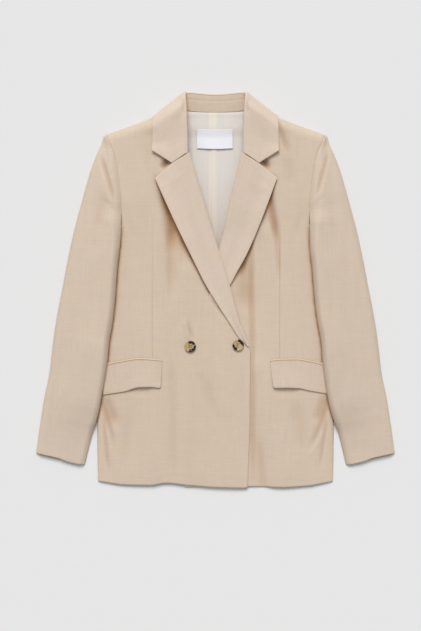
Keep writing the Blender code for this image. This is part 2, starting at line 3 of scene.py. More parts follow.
import bmesh
import bpy
import numpy as np
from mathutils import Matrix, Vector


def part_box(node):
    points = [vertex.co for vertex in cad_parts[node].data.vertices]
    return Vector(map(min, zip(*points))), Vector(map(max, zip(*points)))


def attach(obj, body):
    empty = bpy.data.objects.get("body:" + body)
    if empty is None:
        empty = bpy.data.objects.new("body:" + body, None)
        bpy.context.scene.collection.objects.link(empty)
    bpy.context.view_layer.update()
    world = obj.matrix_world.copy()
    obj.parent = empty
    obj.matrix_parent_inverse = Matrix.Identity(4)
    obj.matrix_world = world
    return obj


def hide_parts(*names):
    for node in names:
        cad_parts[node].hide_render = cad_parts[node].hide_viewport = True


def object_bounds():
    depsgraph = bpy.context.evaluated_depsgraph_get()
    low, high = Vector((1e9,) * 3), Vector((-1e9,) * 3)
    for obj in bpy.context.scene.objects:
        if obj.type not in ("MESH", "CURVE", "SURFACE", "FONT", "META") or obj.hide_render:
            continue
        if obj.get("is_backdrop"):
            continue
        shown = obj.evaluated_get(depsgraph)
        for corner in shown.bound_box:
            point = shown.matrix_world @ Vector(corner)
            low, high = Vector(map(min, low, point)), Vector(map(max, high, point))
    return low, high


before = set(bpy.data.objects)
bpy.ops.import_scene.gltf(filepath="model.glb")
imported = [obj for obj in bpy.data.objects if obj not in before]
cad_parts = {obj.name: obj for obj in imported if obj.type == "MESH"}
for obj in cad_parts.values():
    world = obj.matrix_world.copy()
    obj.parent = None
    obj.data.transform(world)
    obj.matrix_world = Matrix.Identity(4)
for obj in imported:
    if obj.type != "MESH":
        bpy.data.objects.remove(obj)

mm = 0.001
cadBox = [list(corner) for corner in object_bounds()]
print("frame loaded")

# Sizes are millimetres, apart from those of the finishes and the stage, which are metres.
# "Own" x runs from the centre line to a piece's own side.
# Side -1 is the wearer's right, whose front lies on top, and side 1 is the wearer's left.
# the first size is the fold depth at which the painted shade in folds is full
cloth = {"paintedShadeFull": 7.5, "shellWall": 1.4, "sleeveWall": 1.2, "turnedWall": 1.6, "liningWall": 1.0,
         "seamGap": 0.3, "restRoom": 0.5, "edgeRound": 0.38}
sideWords = {-1: "Right", 1: "Left"}
nodeWords = {-1: "right", 1: "left"}
sideColumn = {-1: 1, 1: 2}  # which column of a table holds that side's values


# reading the tables

def smooth(table, key, column=1):
    # a curve through the table's rows that never overshoots them
    knots = np.array([row[0] for row in table], dtype=float)
    values = np.array([row[column] for row in table], dtype=float)
    return curveThrough(knots, values, key)


def curveThrough(knots, values, key):
    key = np.clip(np.asarray(key, dtype=float), knots[0], knots[-1])
    steps = np.diff(knots)
    wide = steps.reshape((-1,) + (1,) * (values.ndim - 1))
    slopes = np.diff(values, axis=0) / wide
    both = slopes[:-1] * slopes[1:]
    inner = np.where(both > 0, 2 * both / (slopes[:-1] + slopes[1:] + 1e-30), 0.0)
    tangents = np.concatenate((slopes[:1], inner, slopes[-1:]))
    spot = np.clip(np.searchsorted(knots, key, side="right") - 1, 0, len(knots) - 2)
    share = (key - knots[spot]) / steps[spot]
    run = steps[spot]
    if values.ndim > 1:
        share = share.reshape(share.shape + (1,) * (values.ndim - 1))
        run = run.reshape(share.shape)
    square, cube = share ** 2, share ** 3
    return ((2 * cube - 3 * square + 1) * values[spot] + (cube - 2 * square + share) * run * tangents[spot]
            + (3 * square - 2 * cube) * values[spot + 1] + (cube - square) * run * tangents[spot + 1])


def ease(value, start, end):
    share = np.clip((np.asarray(value, dtype=float) - start) / (end - start), 0.0, 1.0)
    return share * share * (3 - 2 * share)


def quarter(share):
    # height of a quarter ellipse, from 0 at its edge to 1
    share = np.clip(share, 0.0, 1.0)
    return np.sqrt(1 - (1 - share) ** 2)


def tent(share, peak):
    return np.minimum(share / peak, (1 - share) / (1 - peak))


def rounded(count):
    # shares from 0 to 1, crowded at both ends
    return (1 - np.cos(np.linspace(0, math.pi, count))) / 2


def bell(distance, width):
    # 1 at no distance, dying out on both sides
    return np.exp(-(distance / width) ** 2)


def nearEdge(distance, reach):
    # 1 at an edge, easing off to 0 at its reach
    return (1 - np.clip(distance / reach, 0, 1)) ** 2


def grid(x, y, z):
    return np.stack(np.broadcast_arrays(x, y, z), axis=-1).astype(float)


def grainOf(x, y):
    # the flat cloth under a grid
    return np.stack(np.broadcast_arrays(x, y), -1)


def wayAcross(points):
    # how far along the cloth each point lies from the first of its row
    steps = np.linalg.norm(np.diff(points, axis=1), axis=-1)
    return np.cumsum(np.concatenate((np.zeros((len(points), 1)), steps), 1), 1)


def restOn(wall):
    # how far the middle of a wall lies over the middle of the front below it
    return cloth["shellWall"] / 2 + cloth["restRoom"] + wall / 2


# Creases are strokes laid one by one. Bow is how far the stroke's middle leans out to its left,
# height is over 0 for a ridge and under 0 for a trough, lean makes one flank steeper.
creaseColumns = ("fromX", "fromY", "toX", "toY", "bow", "width", "height", "lean")


def creaseHeight(x, y, rows):
    x, y = np.broadcast_arrays(np.asarray(x, dtype=float), np.asarray(y, dtype=float))
    total = np.zeros(x.shape)
    for row in rows:
        crease = dict(zip(creaseColumns, row))
        runX, runY = crease["toX"] - crease["fromX"], crease["toY"] - crease["fromY"]
        length = math.hypot(runX, runY)
        along = ((x - crease["fromX"]) * runX + (y - crease["fromY"]) * runY) / length ** 2
        aside = ((y - crease["fromY"]) * runX - (x - crease["fromX"]) * runY) / length
        aside = aside - crease["bow"] * np.clip(4 * along * (1 - along), -0.6, 1)
        width = np.where(aside > 0, 1 + 0.6 * crease["lean"], 1 - 0.6 * crease["lean"]) * crease["width"]
        ends = ease(along, -0.15, 0.3) * ease(along, 1.15, 0.7)
        total += crease["height"] * ends * bell(aside, width)
    return total


def softWave(x, y, sizeX, sizeY, seed):
    # slow unevenness between -1 and 1, the same each run
    cells = 48
    lattice = np.random.default_rng(seed).uniform(-1, 1, (cells, cells))
    u, v = np.broadcast_arrays(np.asarray(x, dtype=float) / sizeX + cells // 2,
                               np.asarray(y, dtype=float) / sizeY + cells // 2)
    column, row = np.floor(u).astype(int), np.floor(v).astype(int)
    alongU, alongV = u - column, v - row
    alongU = alongU ** 3 * (alongU * (6 * alongU - 15) + 10)
    alongV = alongV ** 3 * (alongV * (6 * alongV - 15) + 10)
    corner = lambda down, right: lattice[(row + down) % cells, (column + right) % cells]
    low = corner(0, 0) * (1 - alongU) + corner(0, 1) * alongU
    high = corner(1, 0) * (1 - alongU) + corner(1, 1) * alongU
    return low * (1 - alongV) + high * alongV


def drape(x, y, seed, strength=1.0):
    # long soft flutes down the cloth and a little unevenness between them
    return strength * (0.42 * softWave(x + 0.12 * y, y, 46, 190, seed)
                       + 0.16 * softWave(x, y + 0.3 * x, 31, 62, seed + 1)
                       + 0.05 * softWave(x - 0.4 * y, y, 13, 21, seed + 2))


# building cloth and other meshes

def place(name, mesh, finish):
    piece = bpy.data.objects.new(name, mesh)
    bpy.context.scene.collection.objects.link(piece)
    mesh.materials.clear()
    mesh.materials.append(finish)
    return piece


def settle(piece, smoothAngle=38):
    # turn the modifiers' result into a plain mesh
    bpy.context.view_layer.update()
    finished = bpy.data.meshes.new_from_object(piece.evaluated_get(bpy.context.evaluated_depsgraph_get()))
    finished.name = piece.name
    piece.modifiers.clear()
    old = piece.data
    piece.data = finished
    bpy.data.meshes.remove(old)
    finished.shade_smooth()
    finished.set_sharp_from_angle(angle=math.radians(smoothAngle))
    return piece


def sheetPiece(name, grids, grains, wall, finish, edgeRound=None, paintedShade=None):
    # grids are points in space, grains the same points on the flat cloth, and the last argument the painted
    # shade for the first grid's cloth, given as a fold depth in millimetres
    points = np.concatenate([part.reshape(-1, 3) for part in grids])
    deep = np.zeros(len(points))
    if paintedShade is not None:
        deep[:paintedShade.size] = np.clip(paintedShade.reshape(-1) / cloth["paintedShadeFull"], 0, 1)
    flatCloth = np.concatenate([part.reshape(-1, 2) for part in grains])
    faces, start = [], 0
    for part in grids:
        index = start + np.arange(part.shape[0] * part.shape[1]).reshape(part.shape[:2])
        corners = (index[:-1, :-1], index[:-1, 1:], index[1:, 1:], index[1:, :-1])
        faces.append(np.stack(corners, -1).reshape(-1, 4))
        start += index.size
    faces = np.concatenate(faces)
    flatCorners = flatCloth[faces]
    if len(grids) > 1:
        # weld the grids where they meet, and turn all faces the same way out
        weldSize, weldShift = 0.004, 0.317
        rows = np.floor(points / weldSize + weldShift).astype(np.int64)
        first, merged = np.unique(rows, axis=0, return_index=True, return_inverse=True)[1:]
        points, deep, faces = points[first], deep[first], merged.reshape(-1)[faces]
        mesh = bpy.data.meshes.new(name)
        mesh.from_pydata(points.tolist(), [], faces.tolist())
        layer = mesh.uv_layers.new(name="grain")
        layer.data.foreach_set("uv", flatCorners.astype(np.float32).reshape(-1))
        work = bmesh.new()
        work.from_mesh(mesh)
        bmesh.ops.recalc_face_normals(work, faces=work.faces)
        work.to_mesh(mesh)
        work.free()
        turned, spread = np.empty(faces.size, dtype=np.int32), np.empty(faces.size * 2, dtype=np.float32)
        mesh.loops.foreach_get("vertex_index", turned)
        mesh.uv_layers[0].data.foreach_get("uv", spread)
        faces = turned.reshape(-1, 4).astype(np.int64)
        flatCorners = spread.reshape(-1, 4, 2).astype(float)
        bpy.data.meshes.remove(mesh)
    mesh = wallMesh(name, points, faces, flatCorners, wall / 2, edgeRound or cloth["edgeRound"])
    # the painted shade is stored on the cloth's upper and lower faces, for the linen to darken
    if paintedShade is not None:
        every = np.zeros(len(mesh.vertices), dtype=np.float32)
        every[:2 * len(deep)] = np.tile(deep, 2)
        mesh.attributes.new("hollow", "FLOAT", "POINT").data.foreach_set("value", every)
    return place(name, mesh, finish)


def unit(vectors):
    return vectors / np.maximum(np.linalg.norm(vectors, axis=-1, keepdims=True), 1e-9)


def wallMesh(name, points, faces, flatCorners, half, edgeRound, rings=5):
    # a closed wall about a middle surface: upper and lower face, and a rounded rim along every free edge
    first, second, third, fourth = [points[faces[:, corner]] for corner in range(4)]
    faceNormals = np.cross(third - first, fourth - second)
    normals = np.zeros_like(points)
    for corner in range(4):
        np.add.at(normals, faces[:, corner], faceNormals)
    normals = unit(normals)
    flatness, shared = np.zeros(len(points)), np.zeros(len(points))
    for corner in range(4):
        np.add.at(flatness, faces[:, corner], np.sum(normals[faces[:, corner]] * unit(faceNormals), axis=1))
        np.add.at(shared, faces[:, corner], 1)
    reach = half / np.clip(flatness / np.maximum(shared, 1), 0.7, 1)
    fromPoint, toPoint = faces.reshape(-1), np.roll(faces, -1, axis=1).reshape(-1)
    fromFlat, toFlat = flatCorners.reshape(-1, 2), np.roll(flatCorners, -1, axis=1).reshape(-1, 2)
    low, high = np.minimum(fromPoint, toPoint), np.maximum(fromPoint, toPoint)
    key = low * (len(points) + 1) + high
    uses = np.unique(key, return_inverse=True, return_counts=True)
    free = uses[2][uses[1].reshape(-1)] == 1
    lengths = np.linalg.norm(points[fromPoint] - points[toPoint], axis=1)
    room = np.full(len(points), 9.0)  # more than any rim needs
    np.minimum.at(room, fromPoint[~free], lengths[~free])
    np.minimum.at(room, toPoint[~free], lengths[~free])
    rimFrom, rimTo = fromPoint[free], toPoint[free]
    course = np.zeros_like(points)
    step = unit(points[rimTo] - points[rimFrom])
    np.add.at(course, rimFrom, step)
    np.add.at(course, rimTo, step)
    outward = unit(np.cross(unit(course), normals))
    onRim = np.unique(np.concatenate((rimFrom, rimTo)))
    points = points.copy()
    points[onRim] -= outward[onRim] * np.minimum(edgeRound, 0.45 * room[onRim])[:, None]
    count = len(points)
    spot = np.full(count, -1)
    spot[onRim] = np.arange(len(onRim))
    layers = [points + normals * reach[:, None], points - normals * reach[:, None]]
    for ring in range(1, rings + 1):
        angle = math.pi * ring / (rings + 1)
        layers.append(points[onRim] + normals[onRim] * reach[onRim][:, None] * math.cos(angle)
                      + outward[onRim] * edgeRound * math.sin(angle))
    quads, flats = [faces, faces[:, ::-1] + count], [flatCorners, flatCorners[:, ::-1]]
    ringOf = lambda ring, index: (index if ring == 0 else index + count if ring > rings
                                  else 2 * count + (ring - 1) * len(onRim) + spot[index])
    for ring in range(rings + 1):
        quads.append(np.stack((ringOf(ring, rimTo), ringOf(ring, rimFrom),
                               ringOf(ring + 1, rimFrom), ringOf(ring + 1, rimTo)), -1))
        flats.append(np.stack((toFlat[free], fromFlat[free], fromFlat[free], toFlat[free]), 1))
    mesh = bpy.data.meshes.new(name)
    mesh.from_pydata((np.concatenate(layers) * mm).tolist(), [], np.concatenate(quads).tolist())
    layer = mesh.uv_layers.new(name="grain")
    layer.data.foreach_set("uv", (np.concatenate(flats) * mm).astype(np.float32).reshape(-1))
    mesh.shade_smooth()
    mesh.set_sharp_from_angle(angle=math.radians(62))
    return mesh


def declare(piece, nodes, flat, area):
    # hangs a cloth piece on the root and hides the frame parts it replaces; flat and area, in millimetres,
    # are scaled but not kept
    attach(piece, "root")
    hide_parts(*nodes)
    flat[0] * mm
    flat[1] * mm
    area * mm * mm
    return piece


# finishes

class Wire:
    # one value on its way through a node tree; plain arithmetic on it adds Math nodes
    def __init__(self, tree, socket=None):
        self.tree = tree
        self.socket = socket

    def node(self, kind, settings=None, values=None, output=0):
        made = self.tree.nodes.new(kind)
        for name, value in (settings or {}).items():
            if name == "stops":
                ramp = made.color_ramp
                while len(ramp.elements) < len(value):
                    ramp.elements.new(0.5)
                for element, (spot, colour) in zip(ramp.elements, value):
                    element.position = spot
                    element.color = colour
            else:
                setattr(made, name, value)
        for key, value in (values or {}).items():
            target = made.inputs[key] if isinstance(key, int) else found(made.inputs, key)
            if isinstance(value, Wire):
                self.tree.links.new(value.socket, target)
            else:
                target.default_value = value
        if not len(made.outputs):
            return None
        chosen = found(made.outputs, output) if isinstance(output, str) else made.outputs[output]
        return Wire(self.tree, chosen)

    def also(self, output):
        return Wire(self.tree, found(self.socket.node.outputs, output))

    def maths(self, operation, other=None, flipped=False):
        values = {0: self} if other is None else {0: other, 1: self} if flipped else {0: self, 1: other}
        return self.node("ShaderNodeMath", {"operation": operation}, values)

    def __add__(self, other):
        return self.maths("ADD", other)

    def __radd__(self, other):
        return self.maths("ADD", other, True)

    def __sub__(self, other):
        return self.maths("SUBTRACT", other)

    def __rsub__(self, other):
        return self.maths("SUBTRACT", other, True)

    def __mul__(self, other):
        return self.maths("MULTIPLY", other)

    def __rmul__(self, other):
        return self.maths("MULTIPLY", other, True)

    def __pow__(self, other):
        return self.maths("POWER", other)

    def size(self):
        return self.maths("ABSOLUTE")

    def held(self, value):
        # the value kept between 0 and 1
        return self.node("ShaderNodeClamp", None, {0: value})

    def vector(self, x, y, z):
        return self.node("ShaderNodeCombineXYZ", None, {"X": x, "Y": y, "Z": z})

    def colour(self, red, green, blue):
        return self.node("ShaderNodeCombineColor", None, {"Red": red, "Green": green, "Blue": blue})

    def tinted(self, tone, light):
        red, green, blue, _ = linear(*tone)
        return self.colour(light * red, light * green, light * blue)

    def noise(self, where, scale, detail, more=None):
        return self.node("ShaderNodeTexNoise", None, {"Vector": where, "Scale": scale, "Detail": detail,
                                                      **(more or {})}, "Fac")


def found(sockets, name):
    return next(socket for socket in sockets if socket.name == name and socket.enabled)


def linear(red, green, blue):
    # a shade as it looks on a screen, 0 to 255, as the renderer wants it
    parts = [part / 255 for part in (red, green, blue)]
    parts = [part / 12.92 if part <= 0.04045 else ((part + 0.055) / 1.055) ** 2.4 for part in parts]
    return tuple(parts) + (1.0,)


def blank(name):
    finish = bpy.data.materials.new(name)
    finish.use_nodes = True
    finish.node_tree.nodes.clear()
    return finish, Wire(finish.node_tree)


def finishWith(start, shaderValues, baseColour, roughness, bump=None, bumpDepth=0.0001, bumpStrength=1.0):
    # shaderValues are constants on the shader's own sockets
    values = dict(shaderValues)
    values["Base Color"] = baseColour
    values["Roughness"] = roughness
    if bump is not None:
        values["Normal"] = start.node("ShaderNodeBump", None, {
            "Strength": bumpStrength, "Distance": bumpDepth, "Height": bump}, "Normal")
    shader = start.node("ShaderNodeBsdfPrincipled", None, values)
    start.node("ShaderNodeOutputMaterial", None, {"Surface": shader})


def clothAxes(start):
    # metres across and along the grain
    grain = start.node("ShaderNodeUVMap", {"uv_map": "grain"})
    split = start.node("ShaderNodeSeparateXYZ", None, {0: grain}, "X")
    return split, split.also("Y")


def streaks(start, across, along, thick, long, detail=2.0):
    # noise drawn out into threads: thick and long in metres, 0 to 1
    where = start.vector(across * (1 / thick), along * (1 / long), 0.37)
    return start.noise(where, 1.0, detail, {"Roughness": 0.55})


linenLook = {
    "thread": 0.00056, "slub": 0.055, "fine": 0.10, "mottle": 0.035, "bumpDepth": 0.00016,
    "roughness": 0.88, "sheen": 0.12,
    # painted shade: how much red, green and blue fade where shade is painted in folds, seams and beside edges
    "hollow": (0.34, 0.54, 0.72),
    # thickness and length of what is drawn out along the grain
    "slubWarp": (0.0016, 0.055), "slubWeft": (0.0014, 0.042), "fineWarp": (0.0006, 0.012),
    "fineWeft": (0.0006, 0.010), "patches": (0.055, 0.120), "warmth": (0.030, 0.075),
}
# one linen in five copies; the facing and stand copies are a few levels lighter than the shell, painted light
# that stands in for how light falls on those pieces
linenTones = {"shellLinen": (213.5, 194.5, 174.5), "sleeveLinen": (213, 194.5, 176),
              "facingLinen": (218.5, 199.5, 182), "standLinen": (218, 198, 178),
              "flapLinen": (213.5, 194.5, 175.5)}


def linen(name):
    look = linenLook
    finish, start = blank(name)
    across, along = clothAxes(start)
    turnA = (across * (math.pi / look["thread"])).maths("SINE")
    turnB = (along * (math.pi / look["thread"])).maths("SINE")
    crossing = turnA * turnB
    knots = crossing.size() ** 0.5
    warpOver = (crossing * 40).maths("TANH") * 0.5 + 0.5
    slubWarp = streaks(start, across, along, *look["slubWarp"])
    slubWeft = streaks(start, along, across, *look["slubWeft"])
    threadWarp = streaks(start, across, along, *look["fineWarp"], 1.0)
    threadWeft = streaks(start, along, across, *look["fineWeft"], 1.0)
    threads = warpOver * threadWarp + (1 - warpOver) * threadWeft
    patches = streaks(start, across, along, *look["patches"], 3.0)
    light = (1 + (slubWarp - 0.5) * (2 * look["slub"]) + (slubWeft - 0.5) * (2 * look["slub"])
             + (threads - 0.5) * (2 * look["fine"]) + (patches - 0.5) * (2 * look["mottle"])
             + (knots - 0.75) * 0.10)
    red, green, blue, _ = linear(*linenTones[name])
    warmth = streaks(start, along, across, *look["warmth"]) - 0.5
    # painted shade: the cloth is painted warmer and darker where the shade attribute is set, in folds, seams
    # and beside edges
    hollow = start.node("ShaderNodeAttribute", {"attribute_name": "hollow"}, None, "Fac")
    shades = [1 - hollow * part for part in look["hollow"]]
    colour = start.colour(light * red * shades[0], light * green * shades[1] * (1 + warmth * 0.016),
                          light * blue * shades[2] * (1 - warmth * 0.07))
    height = knots * 0.75 + slubWarp * 0.5 + slubWeft * 0.5 + threads * 0.4
    roughness = look["roughness"] + (threads - 0.5) * 0.12
    finishWith(start, {"Sheen Weight": look["sheen"], "Sheen Roughness": 0.45, "Specular IOR Level": 0.28},
               colour, roughness, height, look["bumpDepth"], 0.7)
    return finish


# the strip is the paler cloth at the pleat: its middle and half width
liningLook = {"tone": (223, 217, 209), "stripTone": (232, 223, 211), "strip": (-0.0045, 0.0095),
              "lowShade": 0.9, "rib": 0.00034, "drawn": (0.0022, 0.090), "fine": (0.0007, 0.030),
              "roughness": 0.46}


def liningCloth():
    look = liningLook
    finish, start = blank("liningCloth")
    across, along = clothAxes(start)
    ribs = ((across + along * 0.5) * (math.pi / look["rib"])).maths("SINE").size()
    drawn = streaks(start, across, along, *look["drawn"])
    fine = streaks(start, across, along, *look["fine"], 1.0)
    depth = start.node("ShaderNodeMapRange", None, {"Value": along, "From Min": 0.08, "From Max": 0.22,
                                                    "To Min": look["lowShade"], "To Max": 1.0}, "Result")
    middle, wide = look["strip"]
    strip = start.held((1 - (across - middle).size() * (1 / wide)) * 3)
    light = (1 + (drawn - 0.5) * 0.09 + (fine - 0.5) * 0.05 + (ribs - 0.6) * 0.03) * depth
    sides, paler = linear(*look["tone"])[:3], linear(*look["stripTone"])[:3]
    red, green, blue = [side + strip * (pale - side) for side, pale in zip(sides, paler)]
    # the low end is deeper in shade, and warmer
    colour = start.colour(light * red, light * green * (0.7 + 0.3 * depth),
                          light * blue * (0.5 + 0.5 * depth))
    finishWith(start, {"Sheen Weight": 0.2, "Sheen Roughness": 0.3, "Specular IOR Level": 0.45},
               colour, look["roughness"] + (drawn - 0.5) * 0.2, ribs * 0.6 + fine * 0.5, 0.00006, 0.6)
    return finish


labelLook = {"tone": (236, 236, 242), "weft": 0.00030, "floats": (0.0004, 0.004), "roughness": 0.5}


def labelSatin():
    look = labelLook
    finish, start = blank("labelSatin")
    across, along = clothAxes(start)
    wefts = (along * (math.pi / look["weft"])).maths("SINE").size()
    floats = streaks(start, along, across, *look["floats"], 1.0)
    light = 1 + (wefts - 0.6) * 0.03 + (floats - 0.5) * 0.05
    colour = start.tinted(look["tone"], light)
    finishWith(start, {"Sheen Weight": 0.15, "Sheen Roughness": 0.3, "Specular IOR Level": 0.5},
               colour, look["roughness"] + (floats - 0.5) * 0.15, wefts * 0.6 + floats * 0.4, 0.00006, 0.5)
    return finish


def thread(name, tone, twist=0.0006):
    finish, start = blank(name)
    spot = start.node("ShaderNodeTexCoord", None, None, "Object")
    ply = start.node("ShaderNodeTexWave", {"wave_type": "BANDS", "bands_direction": "DIAGONAL"},
                     {"Vector": spot, "Scale": 1 / twist / 6, "Distortion": 0.6}, "Fac")
    colour = start.tinted(tone, 0.9 + ply * 0.16)
    finishWith(start, {"Sheen Weight": 0.2, "Specular IOR Level": 0.35},
               colour, 0.62 + ply * 0.1, ply, 0.00008, 0.6)
    return finish


# horn is pale honey with near-black patches, polished
# patches are x and y from the button's middle and size, all in millimetres
hornLook = {
    "pale": (205, 184, 138), "honey": (166, 136, 90), "dark": (30, 18, 12), "roughness": 0.17,
    "patches": {"Inner": ((1.0, 8.6, 4.6), (6.4, 6.6, 4.0), (9.6, -1.4, 4.4), (6.4, -6.8, 4.2),
                          (0.8, -8.8, 4.2)),
                "Edge": ((2.6, 8.4, 4.0), (7.2, 4.6, 4.2), (10.0, 0.4, 3.4), (-8.8, -1.6, 3.9),
                         (-5.4, -7.0, 4.3))},
}


def horn(name, centre):
    look = hornLook
    finish, start = blank("buttonHorn" + name)
    spot = start.node("ShaderNodeTexCoord", None, None, "Object")
    swirl = start.noise(spot, 240.0, 3.0, {"Roughness": 0.55, "Distortion": 0.8})
    darkness = None
    for x, y, size in look["patches"][name]:
        patchAt = (centre[0] + x * mm, centre[1] + y * mm, centre[2])
        away = start.node("ShaderNodeVectorMath", {"operation": "DISTANCE"}, {0: spot, 1: patchAt}, "Value")
        patch = 1 - away * (1 / (size * mm))
        darkness = patch if darkness is None else darkness.maths("MAXIMUM", patch)
    darkness = start.held((darkness + (swirl - 0.5) * 0.9 - 0.02) * 5)
    cloud = start.noise(spot, 330.0, 4.0, {"Distortion": 0.5})
    clouded = start.held((cloud - 0.38) * 3.4)
    clear = start.node("ShaderNodeMix", {"data_type": "RGBA"}, {
        "Factor": clouded, "A": linear(*look["honey"]), "B": linear(*look["pale"])}, "Result")
    colour = start.node("ShaderNodeMix", {"data_type": "RGBA"}, {
        "Factor": darkness, "A": clear, "B": linear(*look["dark"])}, "Result")
    marks = start.noise(spot, 2600.0, 1.0)
    finishWith(start, {"Specular IOR Level": 0.5, "Coat Weight": 0.25, "Coat Roughness": 0.12},
               colour, look["roughness"] + (marks - 0.5) * 0.12 + (1 - darkness) * 0.05,
               cloud * 0.6 + marks * 0.2, 0.00004, 0.4)
    return finish


def paperFloor():
    finish, start = blank("floorPaper")
    spot = start.node("ShaderNodeTexCoord", None, None, "Object")
    tooth = start.noise(spot, 900.0, 2.0)
    light = 0.995 + tooth * 0.01
    shade = stageLook["floorShade"]
    colour = start.colour(light * shade, light * shade, light * shade)
    finishWith(start, {"Specular IOR Level": 0.1}, colour, 0.9 + tooth * 0.05, tooth, 0.00004, 0.3)
    return finish


# the body: heights of its layers

body = {
    "sideRise": 8.5, "sideRadius": 13.0, "crown": 10.0, "crownReach": 75.0, "shoulderRadius": 18.0,
    "rim": 2.2, "creaseStrength": 1.4, "drape": 1.1, "seed": 11,
    # where the shoulder seam meets the neck, and how steeply it falls from there
    "neckPoint": (70.0, 332.7), "shoulderSlope": 0.3525,
    # how high the back rises over the collar, and where it begins to and has done so, across and along
    "neckLift": 2.6, "neckLiftAcross": (142, 119), "neckLiftAlong": (280, 301),
    # how much lower the left front lies where the right one covers it, and how much more between these rows
    "lapDrop": 2.6, "lapDropMore": 2.6, "lapFrom": (-150, -108), "lapTo": (150, 90),
    # where the drop begins and is whole, across and along
    "lapAcross": (128, 72), "lapAlong": (262, 150),
    # how far from the side and the shoulder the creases begin and are whole
    "fadeSide": (1, 16), "fadeShoulder": (0, 14),
    "backNeck": 327.0, "backHem": -350.0, "hemLine": -353.0,
    # where the sleeve meets the side seam, and where it meets the front
    "underarm": (219.0, 92.0), "underarmFront": (173.0, 118.0),
    # y, half width
    "side": ((-366, 216.5), (-353, 217), (-200, 219), (92, 219), (118, 226), (150, 240), (165, 246.3),
             (192, 239), (223, 229.7), (253, 218), (270, 210.3), (285, 206.6)),
    # y, how full it is there
    "fullness": ((-366, 0.20), (-330, 0.38), (-260, 0.60), (-180, 0.82), (-100, 0.95), (0, 1.0),
                 (100, 1.1), (200, 1.2), (340, 1.2)),
    # y, front armhole seam
    "armhole": ((118, 173), (155, 173), (186, 175.6), (222, 181), (251, 187), (267, 194.5), (286, 201.5)),
    # y, back armhole seam
    "backArmhole": ((92, 219), (110, 212), (150, 201), (203, 196.5), (250, 199), (284, 205.5)),
    # y, centre edge of the right front, of the left front
    "centreEdge": ((-366, -58.6, -57), (-235, -63, -60), (-120, -63.6, -60), (-106, -62, -55),
                   (-98, -55.3, -41.5), (-58, -39.6, -26.7), (7, -22.2, -8.8), (76, -1.4, 9.8),
                   (165, 25.4, 30.8), (228, 44.9, 46.2), (256, 57, 57), (278, 60, 60), (302, 64, 64),
                   (320, 67.5, 67.5), (333, 70, 70)),
    # own x, how much lower the hem hangs than its straight line, right front, left front
    "hem": ((-62, -9.5, -9), (-53, -12, -10), (-9, -11, -10), (51, -7, -9.5), (92, -3, -10),
            (120, -7, -11), (172, -6, -8), (200, -2, -3), (217, 0, 0)),
}
